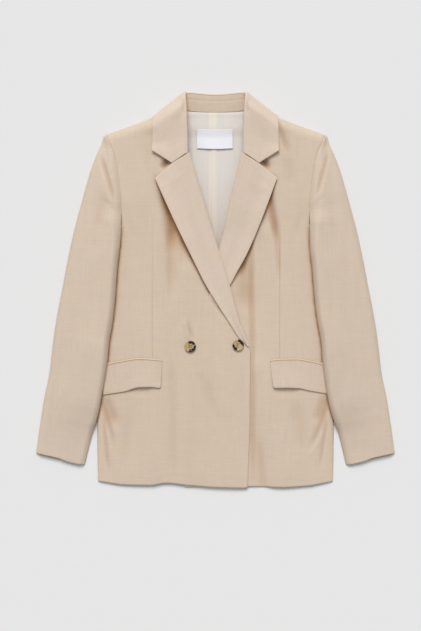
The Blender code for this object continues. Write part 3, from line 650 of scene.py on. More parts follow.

# the creases of the two fronts
frontCreases = {
    -1: (
        # beside the lapel: the fold, its fullness, the hollow under the lapel's edge
        (89, 186, 77, 76, 0, 11.0, -3.7, 0.3), (82, 130, 74, 0, 0, 11.0, -1.2, 0.0),
        (85, 112, 84, -30, 1, 7.0, -1.6, 0.0), (70, 96, 58, 40, 0, 9.0, -1.0, 0.0),
        (104, 150, 100, 60, 0, 9.0, 0.8, 0.0), (107, 200, 40, 52, 2, 9.0, -3.9, 0.0),
        (62, 98, -12, -44, 2, 5.5, -2.8, 0.0), (112, 150, 104, -10, 0, 13.0, 0.9, 0.0),
        (82, 246, 98, 222, 0, 7.0, -5.0, 0.0), (-60, -112, -61, -330, 0, 4.5, 0.9, 0.0),
        # over the inner button
        (58, -54, 46, -92, 1, 2.6, 1.6, 0.5), (51, -58, 41, -94, 1, 2.8, -2.0, -0.4),
        (66, -70, 58, -98, 0, 5.0, 0.4, 0.0),
        # skirt
        (82, -112, 80, -345, -3, 12.0, -0.9, 0.0), (112, -196, 118, -352, 0, 15.0, 0.7, 0.0),
        (58, -125, 50, -320, 0, 13.0, 0.6, 0.0), (36, -142, -16, -268, -6, 13.0, -0.8, 0.2),
        (2, -124, -22, -236, -4, 9.0, 1.0, 0.0), (-20, -200, -34, -330, 0, 9.0, 0.5, 0.0),
        (160, -215, 172, -330, 0, 14.0, -0.7, 0.0),
        # hip
        (215, -196, 184, -300, -3, 5.0, -2.2, 0.3), (204, -250, 180, -312, -3, 5.0, 0.5, 0.3),
        (208, -232, 196, -338, 0, 4.0, -2.2, 0.0), (204, -196, 184, -250, 0, 10.0, -2.2, 0.0),
        # under the flap, and small drags from armhole and shoulder
        (152, -187, 116, -186, 0, 7.0, -0.9, 0.0), (168, 148, 142, 92, 3, 8.0, -0.5, 0.0),
        (176, 186, 158, 150, 0, 7.0, 0.35, 0.0), (128, 268, 121, 205, 0, 7.0, -0.5, 0.0),
        (186, 70, 184, -60, 0, 8.0, -0.6, 0.0), (150, 60, 146, -80, 0, 14.0, 0.4, 0.0)),
    1: (
        # beside the collar's edge, under the notch, beside the lapel
        (114, 314, 134, 250, -2, 5.5, -2.4, 0.4), (124, 318, 148, 262, -2, 7.0, 0.2, 0.0),
        (82, 246, 98, 222, 0, 7.0, -5.0, 0.0), (98, 200, 112, 92, -2, 6.5, -3.6, 0.0),
        (95, 182, 88, 112, 0, 9.0, -1.7, 0.0), (106, 196, 36, 24, -3, 6.5, -2.6, 0.0),
        (68, 92, 46, 24, 0, 5.5, -2.8, 0.0), (67, -96, 69, -350, 0, 5.0, -2.2, 0.0),
        (110, 140, 117, 16, 0, 5.5, -1.7, 0.0), (92, 128, 94, 10, 0, 10.0, 1.3, 0.0),
        (66, 84, 70, -125, -2, 5.5, -2.2, 0.0), (50, 66, 54, -34, 0, 15.0, -2.0, 0.0),
        (76, -130, 79, -345, 0, 8.0, -0.8, 0.0),
        # skirt
        (94, -128, 92, -300, 0, 12.0, 0.7, 0.0), (84, -276, 90, -372, 0, 9.0, -1.2, 0.0),
        (112, -250, 108, -362, 0, 12.0, 0.8, 0.0), (146, -205, 158, -300, 3, 16.0, -0.9, 0.0),
        (136, -300, 130, -366, 0, 12.0, 0.5, 0.0),
        # hip
        (211, -196, 176, -292, 3, 5.0, -2.2, -0.3), (200, -256, 172, -306, 3, 5.0, 0.5, -0.3),
        (206, -236, 192, -330, 0, 4.0, -2.0, 0.0), (202, -196, 186, -244, 0, 9.0, -1.8, 0.0),
        # under the flap, armhole, shoulder
        (150, -188, 108, -187, 0, 7.0, -0.8, 0.0), (166, 150, 150, 96, -3, 8.0, -0.5, 0.0),
        (132, 246, 140, 196, 0, 11.0, -0.8, 0.0), (150, 20, 146, -100, 0, 14.0, 0.4, 0.0),
        (183, 60, 186, -60, 0, 8.0, -0.6, 0.0)),
}


def backLift(x, y):
    return body["neckLift"] * ease(np.abs(x), *body["neckLiftAcross"]) * ease(y, *body["neckLiftAlong"])


def backLevel(x, y):
    return cloth["shellWall"] / 2 + backLift(x, y)


def shoulderLine(x):
    return body["neckPoint"][1] - body["shoulderSlope"] * (x - body["neckPoint"][0])


def bodyLevel(x, y):
    # low at the side and shoulder seams, full between them
    x = np.sqrt(x * x + 60.0)
    inside = np.maximum(smooth(body["side"], y) - cloth["shellWall"] / 2 - x, 0)
    rise = (body["sideRise"] * quarter(inside / body["sideRadius"])
            + body["crown"] * (1 - np.exp(-inside / body["crownReach"])))
    room = (shoulderLine(x) - y) / math.hypot(1, body["shoulderSlope"]) - cloth["shellWall"] / 2
    return (body["rim"] + backLift(x, y)
            + rise * smooth(body["fullness"], y) * quarter(room / body["shoulderRadius"]))


def lapDrop(across, y):
    # the left front lies lower where the right front covers it
    deep = body["lapDrop"] + body["lapDropMore"] * ease(y, *body["lapFrom"]) * ease(y, *body["lapTo"])
    return deep * ease(across, *body["lapAcross"]) * ease(y, *body["lapAlong"])


def seamFade(own, y):
    # creases die out at the side and shoulder seams
    inside = smooth(body["side"], y) - np.abs(own)
    return ease(inside, *body["fadeSide"]) * ease(shoulderLine(np.abs(own)) - y, *body["fadeShoulder"])


def frontFolds(side, own, y):
    own, y = np.broadcast_arrays(np.asarray(own, dtype=float), np.asarray(y, dtype=float))
    folds = body["creaseStrength"] * creaseHeight(own, y, frontCreases[side])
    folds = folds + drape(own, y, body["seed"] + side, body["drape"])
    if side > 0:
        # where the right front covers the left, both bend together
        edge = -smooth(body["centreEdge"], y, 1)
        covered = ease(own, edge + 4, edge - 7)
        folds = folds + (frontFolds(-1, -own, y) - folds) * covered
        return folds
    return folds * seamFade(own, y)


def frontLevel(side, own, y, creased=True):
    level = bodyLevel(own, y)
    if side > 0:
        level = level - lapDrop(own, y)
    if creased:
        level = level + frontFolds(side, own, y) * (seamFade(own, y) if side > 0 else 1.0)
    return level


# fronts: shell cloth with one dart each, turned under at side and shoulder

fronts = {
    "rows": 3.2, "dart": {-1: 116.0, 1: 118.3}, "dartTop": 138.0, "dartDeep": 0.75, "dartWide": 0.8,
    # the first three values below are strengths of painted shade: along the dart, along the armhole seam, and
    # beside the lapel's and sleeve's edges
    "dartShadePaint": 3.4, "seamShadePaint": 2.2, "edgeShadePaint": 4.2, "edgeFall": 0.34, "edgeWide": 2.2, "hemRoll": 0.22,
    "hemFall": 0.3, "hemWide": 2, "armFall": 0.5, "armWide": 4.5, "turn": 4.0,
    # columns from the side to the dart and from the dart to the centre edge
    "sideColumns": 34, "centreColumns": 56,
    # steps of the turned edge: how far down and how far in; turn takes the place of the last step in
    "turnDown": (0.0, 0.5, 0.98, 1.21, 1.28, 1.28), "turnIn": (0.0, 0.12, 0.6, 1.5, 2.6, 1.0),
    "flat": (290, 731), "area": 158000,
}


def edgeX(y):
    # own x of a front's outer boundary, which passes under the sleeve at the underarm
    (sideX, sideY), (frontX, frontY) = body["underarm"], body["underarmFront"]
    low = smooth(body["side"], np.minimum(y, sideY))
    jog = np.interp(y, (sideY, frontY), (sideX, frontX))
    return np.where(y < sideY, low, np.where(y < frontY, jog, smooth(body["armhole"], y)))


def frontGrid(side):
    half = cloth["shellWall"] / 2
    low, armpit, top = body["hemLine"], body["underarmFront"][1], shoulderLine(201.0) - 0.75
    count = int((top - low) / fronts["rows"])
    sideY = np.sort(np.concatenate(((low, low + 0.9, low + 2.0), np.linspace(low + 4, top - 2, count),
                                    (top - 0.9, top), (91.9, body["underarm"][1]))))
    lift = (body["neckPoint"][1] - armpit) / (top - armpit)
    centreY = np.where(sideY < armpit, sideY, armpit + (sideY - armpit) * lift)
    sideX = edgeX(sideY) - 0.25 - (half - 0.25) * ease(sideY, 122, 112)
    centreX = smooth(body["centreEdge"], centreY, sideColumn[side])
    dart = fronts["dart"][side]
    toDart = np.linspace(0, 1, fronts["sideColumns"])[:-1] ** 1.45
    fromDart = 1 - np.linspace(1, 0, fronts["centreColumns"]) ** 1.25
    near, beside = np.array((-2.6, -1.5, -0.8, -0.4, 0, 0.4, 0.8, 1.5, 2.6)), 3.8
    columns = [sideX[:, None] + (dart + beside - sideX)[:, None] * toDart[None, :],
               np.repeat(dart - near[None, :], len(sideY), axis=0),
               dart - beside + (centreX - dart + beside)[:, None] * fromDart[None, :]]
    own = np.concatenate(columns, axis=1)
    share = (sideX[:, None] - own) / (sideX - centreX)[:, None]
    y = sideY[:, None] + (centreY - sideY)[:, None] * share
    return sideY, own, y, centreX


def turnedEdge(edge, side, reachX, reachY):
    # the cloth goes round the fold and a little way under; returns the points of the turn
    down = np.array(fronts["turnDown"])
    turned = np.repeat(edge[:, None, :], len(down), axis=1)
    turned[:, :, 0] -= side * reachX
    turned[:, :, 1] -= reachY
    turned[:, :, 2] -= down
    return turned


def front(side, finish):
    column = sideColumn[side]
    sideY, own, y, centreX = frontGrid(side)
    z = frontLevel(side, own, y)
    # painted shade: the deeper a crease's trough, the darker and warmer its cloth is painted
    paintedShade = -frontFolds(side, own, y) * (seamFade(own, y) if side > 0 else 1.0) - 0.5
    dart = fronts["dart"][side]
    dartEnds = ease(y, fronts["dartTop"], fronts["dartTop"] - 25) * ease(y, -178, -140)
    z = z - fronts["dartDeep"] * dartEnds * bell(own - dart, fronts["dartWide"])
    z = z + 0.12 * dartEnds * bell(own - dart - 1.9, 1.2)
    # painted shade in the dart's groove, below the chest
    paintedShade = paintedShade + fronts["dartShadePaint"] * dartEnds * ease(y, 120, 60) * bell(own - dart, 0.9)
    # painted shadow beside the lapel's edge and beside the sleeve, where they overhang the front
    lapelEdge = smooth(lapels["outerEdge"], y, column)
    lapelShadow = ease(own, lapelEdge + 6, lapelEdge) * ease(y, 216, 190) * ease(y, -100, -80)
    sleeveEdge = smooth(sleeves["tube"], y) - smooth(sleeves["inward"], y, column)
    sleeveEnd = sleeveEdge - 0.5
    sleeveShadow = ease(own, sleeveEdge - 6, sleeveEnd) + 1.2 * ease(own, sleeveEdge - 2.5, sleeveEnd)
    sleeveShadow = sleeveShadow * ease(y, 122, 108)
    paintedShade = np.maximum(paintedShade, 0) + fronts["edgeShadePaint"] * (lapelShadow + sleeveShadow)
    toCentre = own - centreX[:, None]
    z = z - fronts["edgeFall"] * nearEdge(toCentre, fronts["edgeWide"])
    toHem = y - body["hemLine"]
    hemFold = -bell(toHem - 5.0, 0.9) + 0.5 * bell(toHem - 2.8, 1.5)
    z = z + fronts["hemRoll"] * hemFold - fronts["hemFall"] * nearEdge(toHem, fronts["hemWide"])
    farAway = 99
    toArmhole = np.where(sideY[:, None] >= body["underarmFront"][1], own[:, :1] - own, farAway)
    z = z - fronts["armFall"] * nearEdge(toArmhole, fronts["armWide"])
    # painted shade along the armhole seam
    paintedShade = paintedShade + fronts["seamShadePaint"] * bell(toArmhole, 1.2)
    hang = smooth(body["hem"], own, column) * ease(y, body["hemLine"] + 70, body["hemLine"])
    points = grid(own * side, y + hang, z)
    down, reach = np.array(fronts["turnDown"]), np.array(fronts["turnIn"])
    # side seam
    reach[-1] = fronts["turn"]
    edge = points[sideY <= body["underarm"][1], 0]
    sideTurn = turnedEdge(edge, side, reach, 0)
    sideGrain = grainOf((np.abs(edge[:, :1]) + 1.6 * down + reach) * side, edge[:, 1:2])
    # shoulder seam, down to the back
    edge = points[-1]
    reach = np.repeat(reach[None, :], len(edge), axis=0)
    reach[:, -1] = 3.0 + (fronts["turn"] - 3.0) * ease(np.abs(edge[:, 0]), 70, 80)
    lean = math.hypot(1, body["shoulderSlope"])
    topTurn = turnedEdge(edge, side, reach * body["shoulderSlope"] / lean, reach / lean)
    backAt = backLevel(topTurn[:, :, 0], topTurn[:, :, 1])
    topTurn[:, :, 2] = backAt + (topTurn[:, :1, 2] - backAt[:, :1]) * (1 - down / down[-1])
    topGrain = grainOf(topTurn[:, :, 0], edge[:, 1:2] + 1.6 * down + reach)
    grains = [grainOf(own * side, y), sideGrain, topGrain]
    piece = sheetPiece("front" + sideWords[side], [points, sideTurn, topTurn], grains, cloth["shellWall"],
                       finish, paintedShade=paintedShade)
    return declare(piece, ["front_" + nodeWords[side]], fronts["flat"], fronts["area"])


# back, flat on the ground, with its centre seam, lifted at the neck over the collar

# from fanFrom up to fanTo the rows spread to follow neck and shoulder
backPanel = {"columns": 90, "rows": 150, "fanRows": 48, "fanFrom": 203, "fanTo": 284, "inset": 5.0,
             "seamHigh": 0.3, "seamWide": 0.9, "flat": (430, 682), "area": 278000}


def neckRise(x):
    # how much higher the neck edge stands than at the centre back
    neckX, neckY = body["neckPoint"]
    return (neckY - body["backNeck"]) * (np.abs(x) / neckX) ** 2


def back(finish):
    look = backPanel
    half = np.linspace(0, 1, look["columns"] // 2) ** 0.9
    across = np.concatenate((-half[:0:-1], half))
    climb = np.linspace(0, 1, look["fanRows"])[1:]
    low = np.linspace(body["backHem"], look["fanFrom"], look["rows"])
    rows = np.concatenate((low, look["fanFrom"] + (look["fanTo"] - look["fanFrom"]) * climb))
    climb = np.concatenate((np.zeros(len(low)), climb))[:, None]
    underarm = body["underarm"][1]
    side = smooth(body["side"], np.minimum(rows, underarm)) - look["inset"] - 0.4
    arm = smooth(body["backArmhole"], rows) - cloth["seamGap"]
    edge = np.where(rows <= underarm, side, arm - (look["inset"] + 0.4) * ease(rows, 112, underarm))
    x = edge[:, None] * across[None, :]
    away = np.abs(x)
    neck = body["backNeck"] + neckRise(x)
    shoulder = shoulderLine(away) - 0.6 - look["inset"] * (0.72 + 0.28 * ease(away, 70, 80))
    top = neck + (shoulder - neck) * ease(away, 62, 72)
    y = np.where(climb > 0, look["fanFrom"] + (top - look["fanFrom"]) * climb, rows[:, None])
    z = backLevel(x, y) + look["seamHigh"] * bell(x, look["seamWide"]) * ease(y, body["backNeck"], 320)
    piece = sheetPiece("backPanel", [grid(x, y, z)], [grainOf(x, y)], cloth["shellWall"], finish)
    return declare(piece, ["back"], look["flat"], look["area"])


# lining that shows inside the neck, with its loose centre pleat

liningShape = {"side": ((40, 52), (110, 62), (200, 74), (262, 80), (300, 78), (327, 62)),
               "pleatAt": -2.5, "pleatWide": 5.0, "pleatHigh": 0.9, "uneven": 0.10, "seed": 41,
               "rows": 84, "neckRows": 22, "columns": 22, "flat": (160, 292), "area": 40200,
               "creases": ((-34, 250, -40, 60, 0, 5.0, 0.35, 0.0), (26, 252, 34, 80, 0, 6.0, 0.4, 0.0),
                           (-52, 322, -30, 300, 0, 4.0, -0.3, 0.0), (44, 318, 24, 296, 0, 4.0, -0.3, 0.0),
                           (12, 240, 15, 90, 0, 3.5, -0.3, 0.0))}


def lining(finish):
    look = liningShape
    rows = np.concatenate((np.linspace(45, 285, look["rows"]), np.linspace(287, 326.2, look["neckRows"]),
                           (body["backNeck"],)))
    near = look["pleatAt"] + np.array((-11, -8, -6, -4.6, -3.4, -2, 0, 2, 3.6, 4.8, 6.2, 8, 11))
    edge = smooth(look["side"], rows)
    part = np.linspace(0, 1, look["columns"])[None, :]
    left = -edge[:, None] + (edge[:, None] + near[0]) * part[:, :-1]
    right = near[-1] + (edge[:, None] - near[-1]) * part[:, 1:]
    x = np.concatenate((left, np.repeat(near[None, :], len(rows), 0), right), axis=1)
    neck = body["backNeck"] - 0.15 + neckRise(x)
    y = rows[:, None] + (neck - rows[:, None]) * ease(rows, 285, 327)[:, None]
    aside = (x - look["pleatAt"]) / look["pleatWide"]
    pleat = np.exp(-aside ** 4) - 0.35 * bell(aside - 1.5, 0.4) - 0.35 * bell(aside + 1.5, 0.4)
    pleat = look["pleatHigh"] * pleat * (0.35 + 0.65 * ease(y, 325, 300))
    band = 0.3 * ease(y, 319, 321.5) * ease(y, 328, 325)
    loose = creaseHeight(x, y, look["creases"]) + look["uneven"] * softWave(x, y, 9, 60, look["seed"])
    loose = loose * ease(y, 322, 300)
    z = backLevel(x, y) + cloth["shellWall"] / 2 + 1.5 * cloth["seamGap"] + cloth["liningWall"] / 2
    z = z + np.maximum(pleat + band + loose, -0.1)
    piece = sheetPiece("backLining", [grid(x, y, z)], [grainOf(x, y)], cloth["liningWall"], finish, 0.25)
    return declare(piece, ["back_lining"], look["flat"], look["area"])


# bare woven label under the neck seam, folded in at its ends

labelShape = {"endLift": 0.25, "lowerLift": 1.5, "bow": 1.1, "thickness": 0.8, "uneven": 0.12, "seed": 77,
              "columns": 56, "rows": 30, "flat": (66, 36), "area": 2350}


def neckLabel(finish):
    lowest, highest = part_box("neck_label")
    left, right = lowest.x / mm, highest.x / mm
    bottom, top = lowest.y / mm, highest.y / mm
    x = np.linspace(left, right, labelShape["columns"])[None, :]
    climb = np.linspace(0, 1, labelShape["rows"])[:, None]
    across = (x - left) / (right - left)
    bow = labelShape["bow"] * np.sin(math.pi * np.clip(across * 1.15 - 0.1, 0, 1)) * (1 - climb)
    y = bottom + (top - bottom) * climb - bow
    z = backLevel(x, y) + cloth["shellWall"] / 2 + 3 * cloth["seamGap"] + 1.5 * cloth["liningWall"] + 1.0
    hang = labelShape["lowerLift"] * (1 - climb) ** 2.2 * (0.35 + 0.65 * np.sin(math.pi * across))
    ends = labelShape["endLift"] * (bell(across - 0.055, 0.012) + bell(across - 0.945, 0.012))
    z = z + hang - ends + labelShape["uneven"] * softWave(x, y, 11, 9, labelShape["seed"])
    piece = sheetPiece("neckLabel", [grid(x, y, z)], [grainOf(x, y)], labelShape["thickness"], finish, 0.2)
    return declare(piece, ["neck_label"], labelShape["flat"], labelShape["area"])


# lapels: the front's facing rolled over and laid back on the front

lapels = {
    # y at the gorge and at the lapel's foot, on the roll and on the outer edge
    "rollEnds": (252.4, -104), "edgeEnds": (205, -103.5),
    # y, roll line of the right lapel, of the left lapel
    "rollLine": ((-106, -62.5, -50), (-98, -59.5, -46.5), (-58.5, -44, -31), (7.4, -26.5, -13),
                 (75.7, -5.6, 5.6), (165, 21.2, 26.6), (252, 47.5, 47.5)),
    # y, outer edge of the right lapel, of the left lapel
    "outerEdge": ((-103.5, -58.6, -46.6), (-99.5, -54.5, -42), (-89.5, -44.8, -34), (-61.2, -26.5, -14.5),
                  (-33, -8, 2), (14, 20.4, 29.5), (31, 28.9, 38.4), (68, 47.1, 58.5), (120, 72.3, 81),
                  (205, 111, 113)),
    # the notch's corner and its share of the way out
    "notch": (78.4, 232.9), "notchShare": 0.42,
    # how far in from the roll line the seam and the roll's nose lie, and how long the lapel is
    "reach": 3.0, "nose": 0.8, "length": 354.3,
    # y, how far the outer edge stands off the front: right, left
    "edgeLift": ((-104, 0.0, 0.0), (-60, 0.7, 0.6), (0, 1.9, 1.6), (60, 3.4, 3.0), (120, 4.8, 4.2),
                 (160, 4.6, 4.0), (205, 2.4, 2.4)),
    "belly": {-1: 1.3, 1: 1.1}, "edgeFall": 0.4, "edgeWide": 2.4, "gorgeFall": 0.35, "gorgeWide": 2.2,
    "drape": 0.35, "seed": 31,
    # the notch bends the rows down to this share of the drop; rows above and below it, columns, ring steps
    "notchDrop": 0.12, "notchRows": 22, "rows": 118, "columns": 44, "ringSteps": 13,
    "creases": {-1: ((62, 216, 92, 176, 3, 9.0, 0.7, 0.0), (52, 190, 40, 90, 2, 8.0, -0.5, 0.0),
                     (34, 120, 12, 40, -2, 7.0, 0.5, 0.0), (88, 200, 74, 150, 0, 6.0, -0.4, 0.0)),
                1: ((60, 214, 88, 180, -3, 9.0, 0.6, 0.0), (50, 188, 40, 100, -2, 8.0, -0.5, 0.0),
                    (36, 118, 18, 50, 2, 7.0, 0.5, 0.0), (92, 196, 84, 150, 0, 7.0, -0.2, 0.0))},
    "flat": (86, 371), "area": 19000,
}


def lapelFrame(side, drop):
    # where the roll and the outer edge stand at each row, from the gorge down
    rollY, edgeY = [high + (low - high) * drop for high, low in (lapels["rollEnds"], lapels["edgeEnds"])]
    column = sideColumn[side]
    return rollY, smooth(lapels["rollLine"], rollY, column), edgeY, smooth(lapels["outerEdge"], edgeY, column)


def rollRadius(side, rollY):
    if side < 0:
        return 1.5 + 0.7 * ease(rollY, 60, 250)
    return 1.2 + 1.0 * ease(rollY, 95, 250)


def lapel(side, finish):
    look = lapels
    drop = np.concatenate((np.linspace(0, look["notchDrop"], look["notchRows"])[:-1],
                           np.linspace(look["notchDrop"], 1.0, look["rows"])))
    rollY, rollX, edgeY, outerX = lapelFrame(side, drop)
    width = np.hypot(outerX - rollX, edgeY - rollY)
    reach = np.minimum(look["reach"], 0.45 * width)
    nose = np.minimum(look["nose"], 0.2 * width)
    tall = rollRadius(side, rollY)
    wide = np.minimum(tall, 0.95 * (reach - nose))
    wayX, wayY = (outerX - rollX) / width, (edgeY - rollY) / width
    # the roll, seen from its end, is a half ring
    angles = np.linspace(-90, 90, look["ringSteps"]) * math.pi / 180
    ringOut = (nose + wide)[:, None] - wide[:, None] * np.cos(angles)[None, :]
    ringUp = tall[:, None] * (1 + np.sin(angles)[None, :])
    root = frontLevel(side, rollX + wayX * reach, rollY + wayY * reach)
    ring = grid((rollX[:, None] + wayX[:, None] * ringOut) * side, rollY[:, None] + wayY[:, None] * ringOut,
                root[:, None] + ringUp)
    seam = grid((rollX + wayX * reach)[:, None] * side, (rollY + wayY * reach)[:, None], root[:, None])
    # the laid part
    start = nose + wide
    share = np.sort(np.concatenate((np.linspace(0, 1, look["columns"]) ** 1.05,
                                    1 - np.array((0.006, 0.014, 0.03)), (look["notchShare"],))))[1:]
    part = start[:, None] / width[:, None] + (1 - start / width)[:, None] * share[None, :]
    own = rollX[:, None] + (outerX - rollX)[:, None] * part
    y = rollY[:, None] + (edgeY - rollY)[:, None] * part
    bend = nearEdge(drop, look["notchDrop"])[:, None] * tent(share[None, :], look["notchShare"]).clip(0, 1)
    notchX, notchY = look["notch"]
    peak = int(np.argmin(np.abs(share - look["notchShare"])))
    own = own + bend * (notchX - own[0, peak])
    y = y + bend * (notchY + 0.3 - y[0, peak])
    ground = frontLevel(side, own, y)
    plain = np.maximum(ground, frontLevel(side, own, y, False))
    ground = ground + (plain - ground) * ease(share, 0, 0.3)[None, :]
    resting = restOn(cloth["turnedWall"])
    over = (2 * tall - resting)[:, None] * (1 - share).clip(0, 1)[None, :] ** 2
    rise = root + resting - ground[:, 0]
    lift = smooth(look["edgeLift"], edgeY, sideColumn[side])[:, None] * ease(share, 0.45, 1.0)[None, :] ** 1.3
    belly = look["belly"][side] * np.sin(math.pi * np.clip(share * 1.25, 0, 1))[None, :] ** 2
    belly = belly * ease(width, 25, 70)[:, None]
    z = ground + rise[:, None] * (1 - share)[None, :] ** 2 + resting + over + lift + belly
    inner = ease(share, 0.05, 0.3)[None, :] * ease(width, 20, 60)[:, None]
    uneven = drape(own, y, look["seed"] + side, look["drape"])
    z = z + inner * (creaseHeight(own, y, look["creases"][side]) + uneven + 0.15)
    toEdge = (1 - share)[None, :] * width[:, None]
    z = z - look["edgeFall"] * nearEdge(toEdge, look["edgeWide"])
    toGorge = (drop * look["length"])[:, None]
    z = z - look["gorgeFall"] * nearEdge(toGorge, look["gorgeWide"]) * ease(share, 0.40, 0.46)[None, :]
    laid = grid(own * side, y, z)
    points = np.concatenate((seam, ring, laid), axis=1)
    along = np.hypot(rollX - rollX[-1], rollY - rollY[-1])
    grain = grainOf(wayAcross(points) * side, along[:, None])
    piece = sheetPiece("lapel" + sideWords[side], [points], [grain], cloth["turnedWall"], finish, 0.5)
    return declare(piece, ["lapel_" + nodeWords[side]], look["flat"], look["area"])


# collar: the fall lies over the fronts and, behind the neck, under the back; the stand joins it to the neck

collarColumns = ("rollX", "rollY", "edgeX", "edgeY", "neckX", "neckY", "turn", "rollZ", "radius", "edgeZ",
                 "neckZ")
collarShape = {
    # sections from the middle of the back to the collar's point
    "sections": ((0, 361.5, 0, 308, 0, 327.4, -90, 4.8, 3.9, 0.9, 5.0),
                 (28, 363, 50, 310.5, 32, 328.7, -90, 4.8, 3.8, 0.9, 5.0),
                 (43, 364.3, 88, 313.5, 56, 331.3, -88, 5.4, 3.8, 0.9, 5.2),
                 (50.4, 364.4, 108, 316, 63, 332.6, -62, 7.2, 3.2, 0.9, 5.6),
                 (53.4, 363.8, 114.6, 319.0, 67.5, 334.2, -30, 11, 2.8, 2.2, 6.9),
                 (54.4, 362.6, 115.3, 319.4, 68.6, 335.4, 0, 16, 2.5, 7.5, 9.0),
                 (54.4, 359.6, 115.5, 317.6, 68.2, 332.6, 35, 20, 2.3, 14.5, 11.5),
                 (54.0, 352, 115.4, 309.5, 66.8, 327, 70, 24.0, 2.2, 22.4, 17.5),
                 (53, 340, 115.3, 298, 64.8, 317, 90, 26.2, 2.2, 0, 0),
                 (51.8, 318, 115.5, 285, 61.6, 301, 90, 27.4, 2.2, 0, 0),
                 (50.8, 285, 115.9, 270, 57.8, 278, 90, 27.0, 2.2, 0, 0),
                 (50.4, 262, 116.2, 259, 55.4, 262, 90, 27.2, 2.2, 0, 0),
                 (50.3, 250.4, 116.4, 255.7, 54.4, 256, 90, 27.3, 2.2, 0, 0)),
    "rows": 230, "edgeLift": {-1: 2.0, 1: 3.0}, "pointLift": 1.6, "gorgeLift": {-1: 1.1, 1: 0.75},
    "belly": 0.8, "edgeFall": 0.4, "edgeWide": 2.4, "gorgeFall": 0.35, "gorgeWide": 2.0,
    "seamAt": 0.34, "seamDeep": 0.45, "seamWide": 0.035, "drape": 0.35, "seed": 51,
    # the stand bellies a little between its edges and ripples
    "standBelly": 0.35, "ripple": 0.16, "rippleSeed": 61,
    # columns of fall and stand; the ring steps are the lapels'
    "columns": 30, "standColumns": 25,
    "flat": (359, 119), "area": 27300, "standFlat": (316, 48), "standArea": 6100,
}


def collarSections():
    fall, stand, lengths = [], [], []
    look = collarShape
    peak = lapels["notchShare"]
    share = np.sort(np.concatenate((np.linspace(0, 1, look["columns"]), 1 - np.array((0.008, 0.02, 0.04)),
                                    (peak,))))
    corner = np.array(lapels["notch"]) - (0, 0.3)
    last = dict(zip(collarColumns, look["sections"][-1]))
    spot = lambda row, word: np.array((row[word + "X"], row[word + "Y"]))
    lastLine = (1 - peak) * spot(last, "roll") + peak * spot(last, "edge")
    count = len(look["sections"])
    for number, row in enumerate(look["sections"]):
        at = dict(zip(collarColumns, row))
        roll, edge, neck = spot(at, "roll"), spot(at, "edge"), spot(at, "neck")
        way = (edge - roll) / np.linalg.norm(edge - roll)
        turn = math.radians(at["turn"])
        aside = np.append(-np.array((0.632, 0.775)) * math.cos(turn), -math.sin(turn))
        middle = np.append(roll + way * lapels["reach"], at["rollZ"])
        outward = np.append(-way, 0.0)
        # half ring from the stand's side round the nose to the fall's side
        ring = []
        for angle in np.linspace(-90, 90, lapels["ringSteps"]):
            lean = math.radians(angle)
            ring.append(middle - aside * at["radius"] * math.sin(lean)
                        + outward * (lapels["reach"] - lapels["nose"]) * math.cos(lean))
        inner, outer = ring[0], ring[-1]
        flat = (1 - share)[:, None] * outer[None, :2] + share[:, None] * edge[None, :]
        bend = max((number - (count - 4)) / 3.0, 0.0) ** 1.5
        flat = flat + bend * tent(share, peak)[:, None] * (corner - lastLine)[None, :]
        if at["edgeZ"]:
            z = outer[2] + (at["edgeZ"] - outer[2]) * share ** 0.6
        else:
            ground = bodyLevel(flat[:, 0], flat[:, 1]) + restOn(cloth["turnedWall"])
            z = ground + (outer[2] - ground[0]) * (1 - share) ** 2
        fall.append(np.vstack((np.array(ring)[:-1], np.column_stack((flat, z)))))
        neckZ = at["neckZ"] or float(bodyLevel(neck[0], neck[1]))
        foot = np.append(neck, neckZ)
        run = (foot - inner) / np.linalg.norm(foot - inner)
        before = np.array(look["sections"][max(number - 1, 0)][:2])
        after = np.array(look["sections"][min(number + 1, count - 1)][:2])
        course = np.append(after - before, 0.0) / np.linalg.norm(after - before)
        top = inner + run * (0.4 / max(np.linalg.norm(np.cross(run, course)), 0.3))
        parts = np.linspace(0, 1, look["standColumns"])
        stand.append(np.array([top + (foot - top) * part for part in parts]))
        lengths.append(np.append((roll + neck) / 2, at["rollZ"]))
    return np.array(fall), np.array(stand), np.array(lengths), share


def bothHalves(half):
    return np.concatenate(((half[1:] * np.array((-1, 1, 1)))[::-1], half), axis=0)


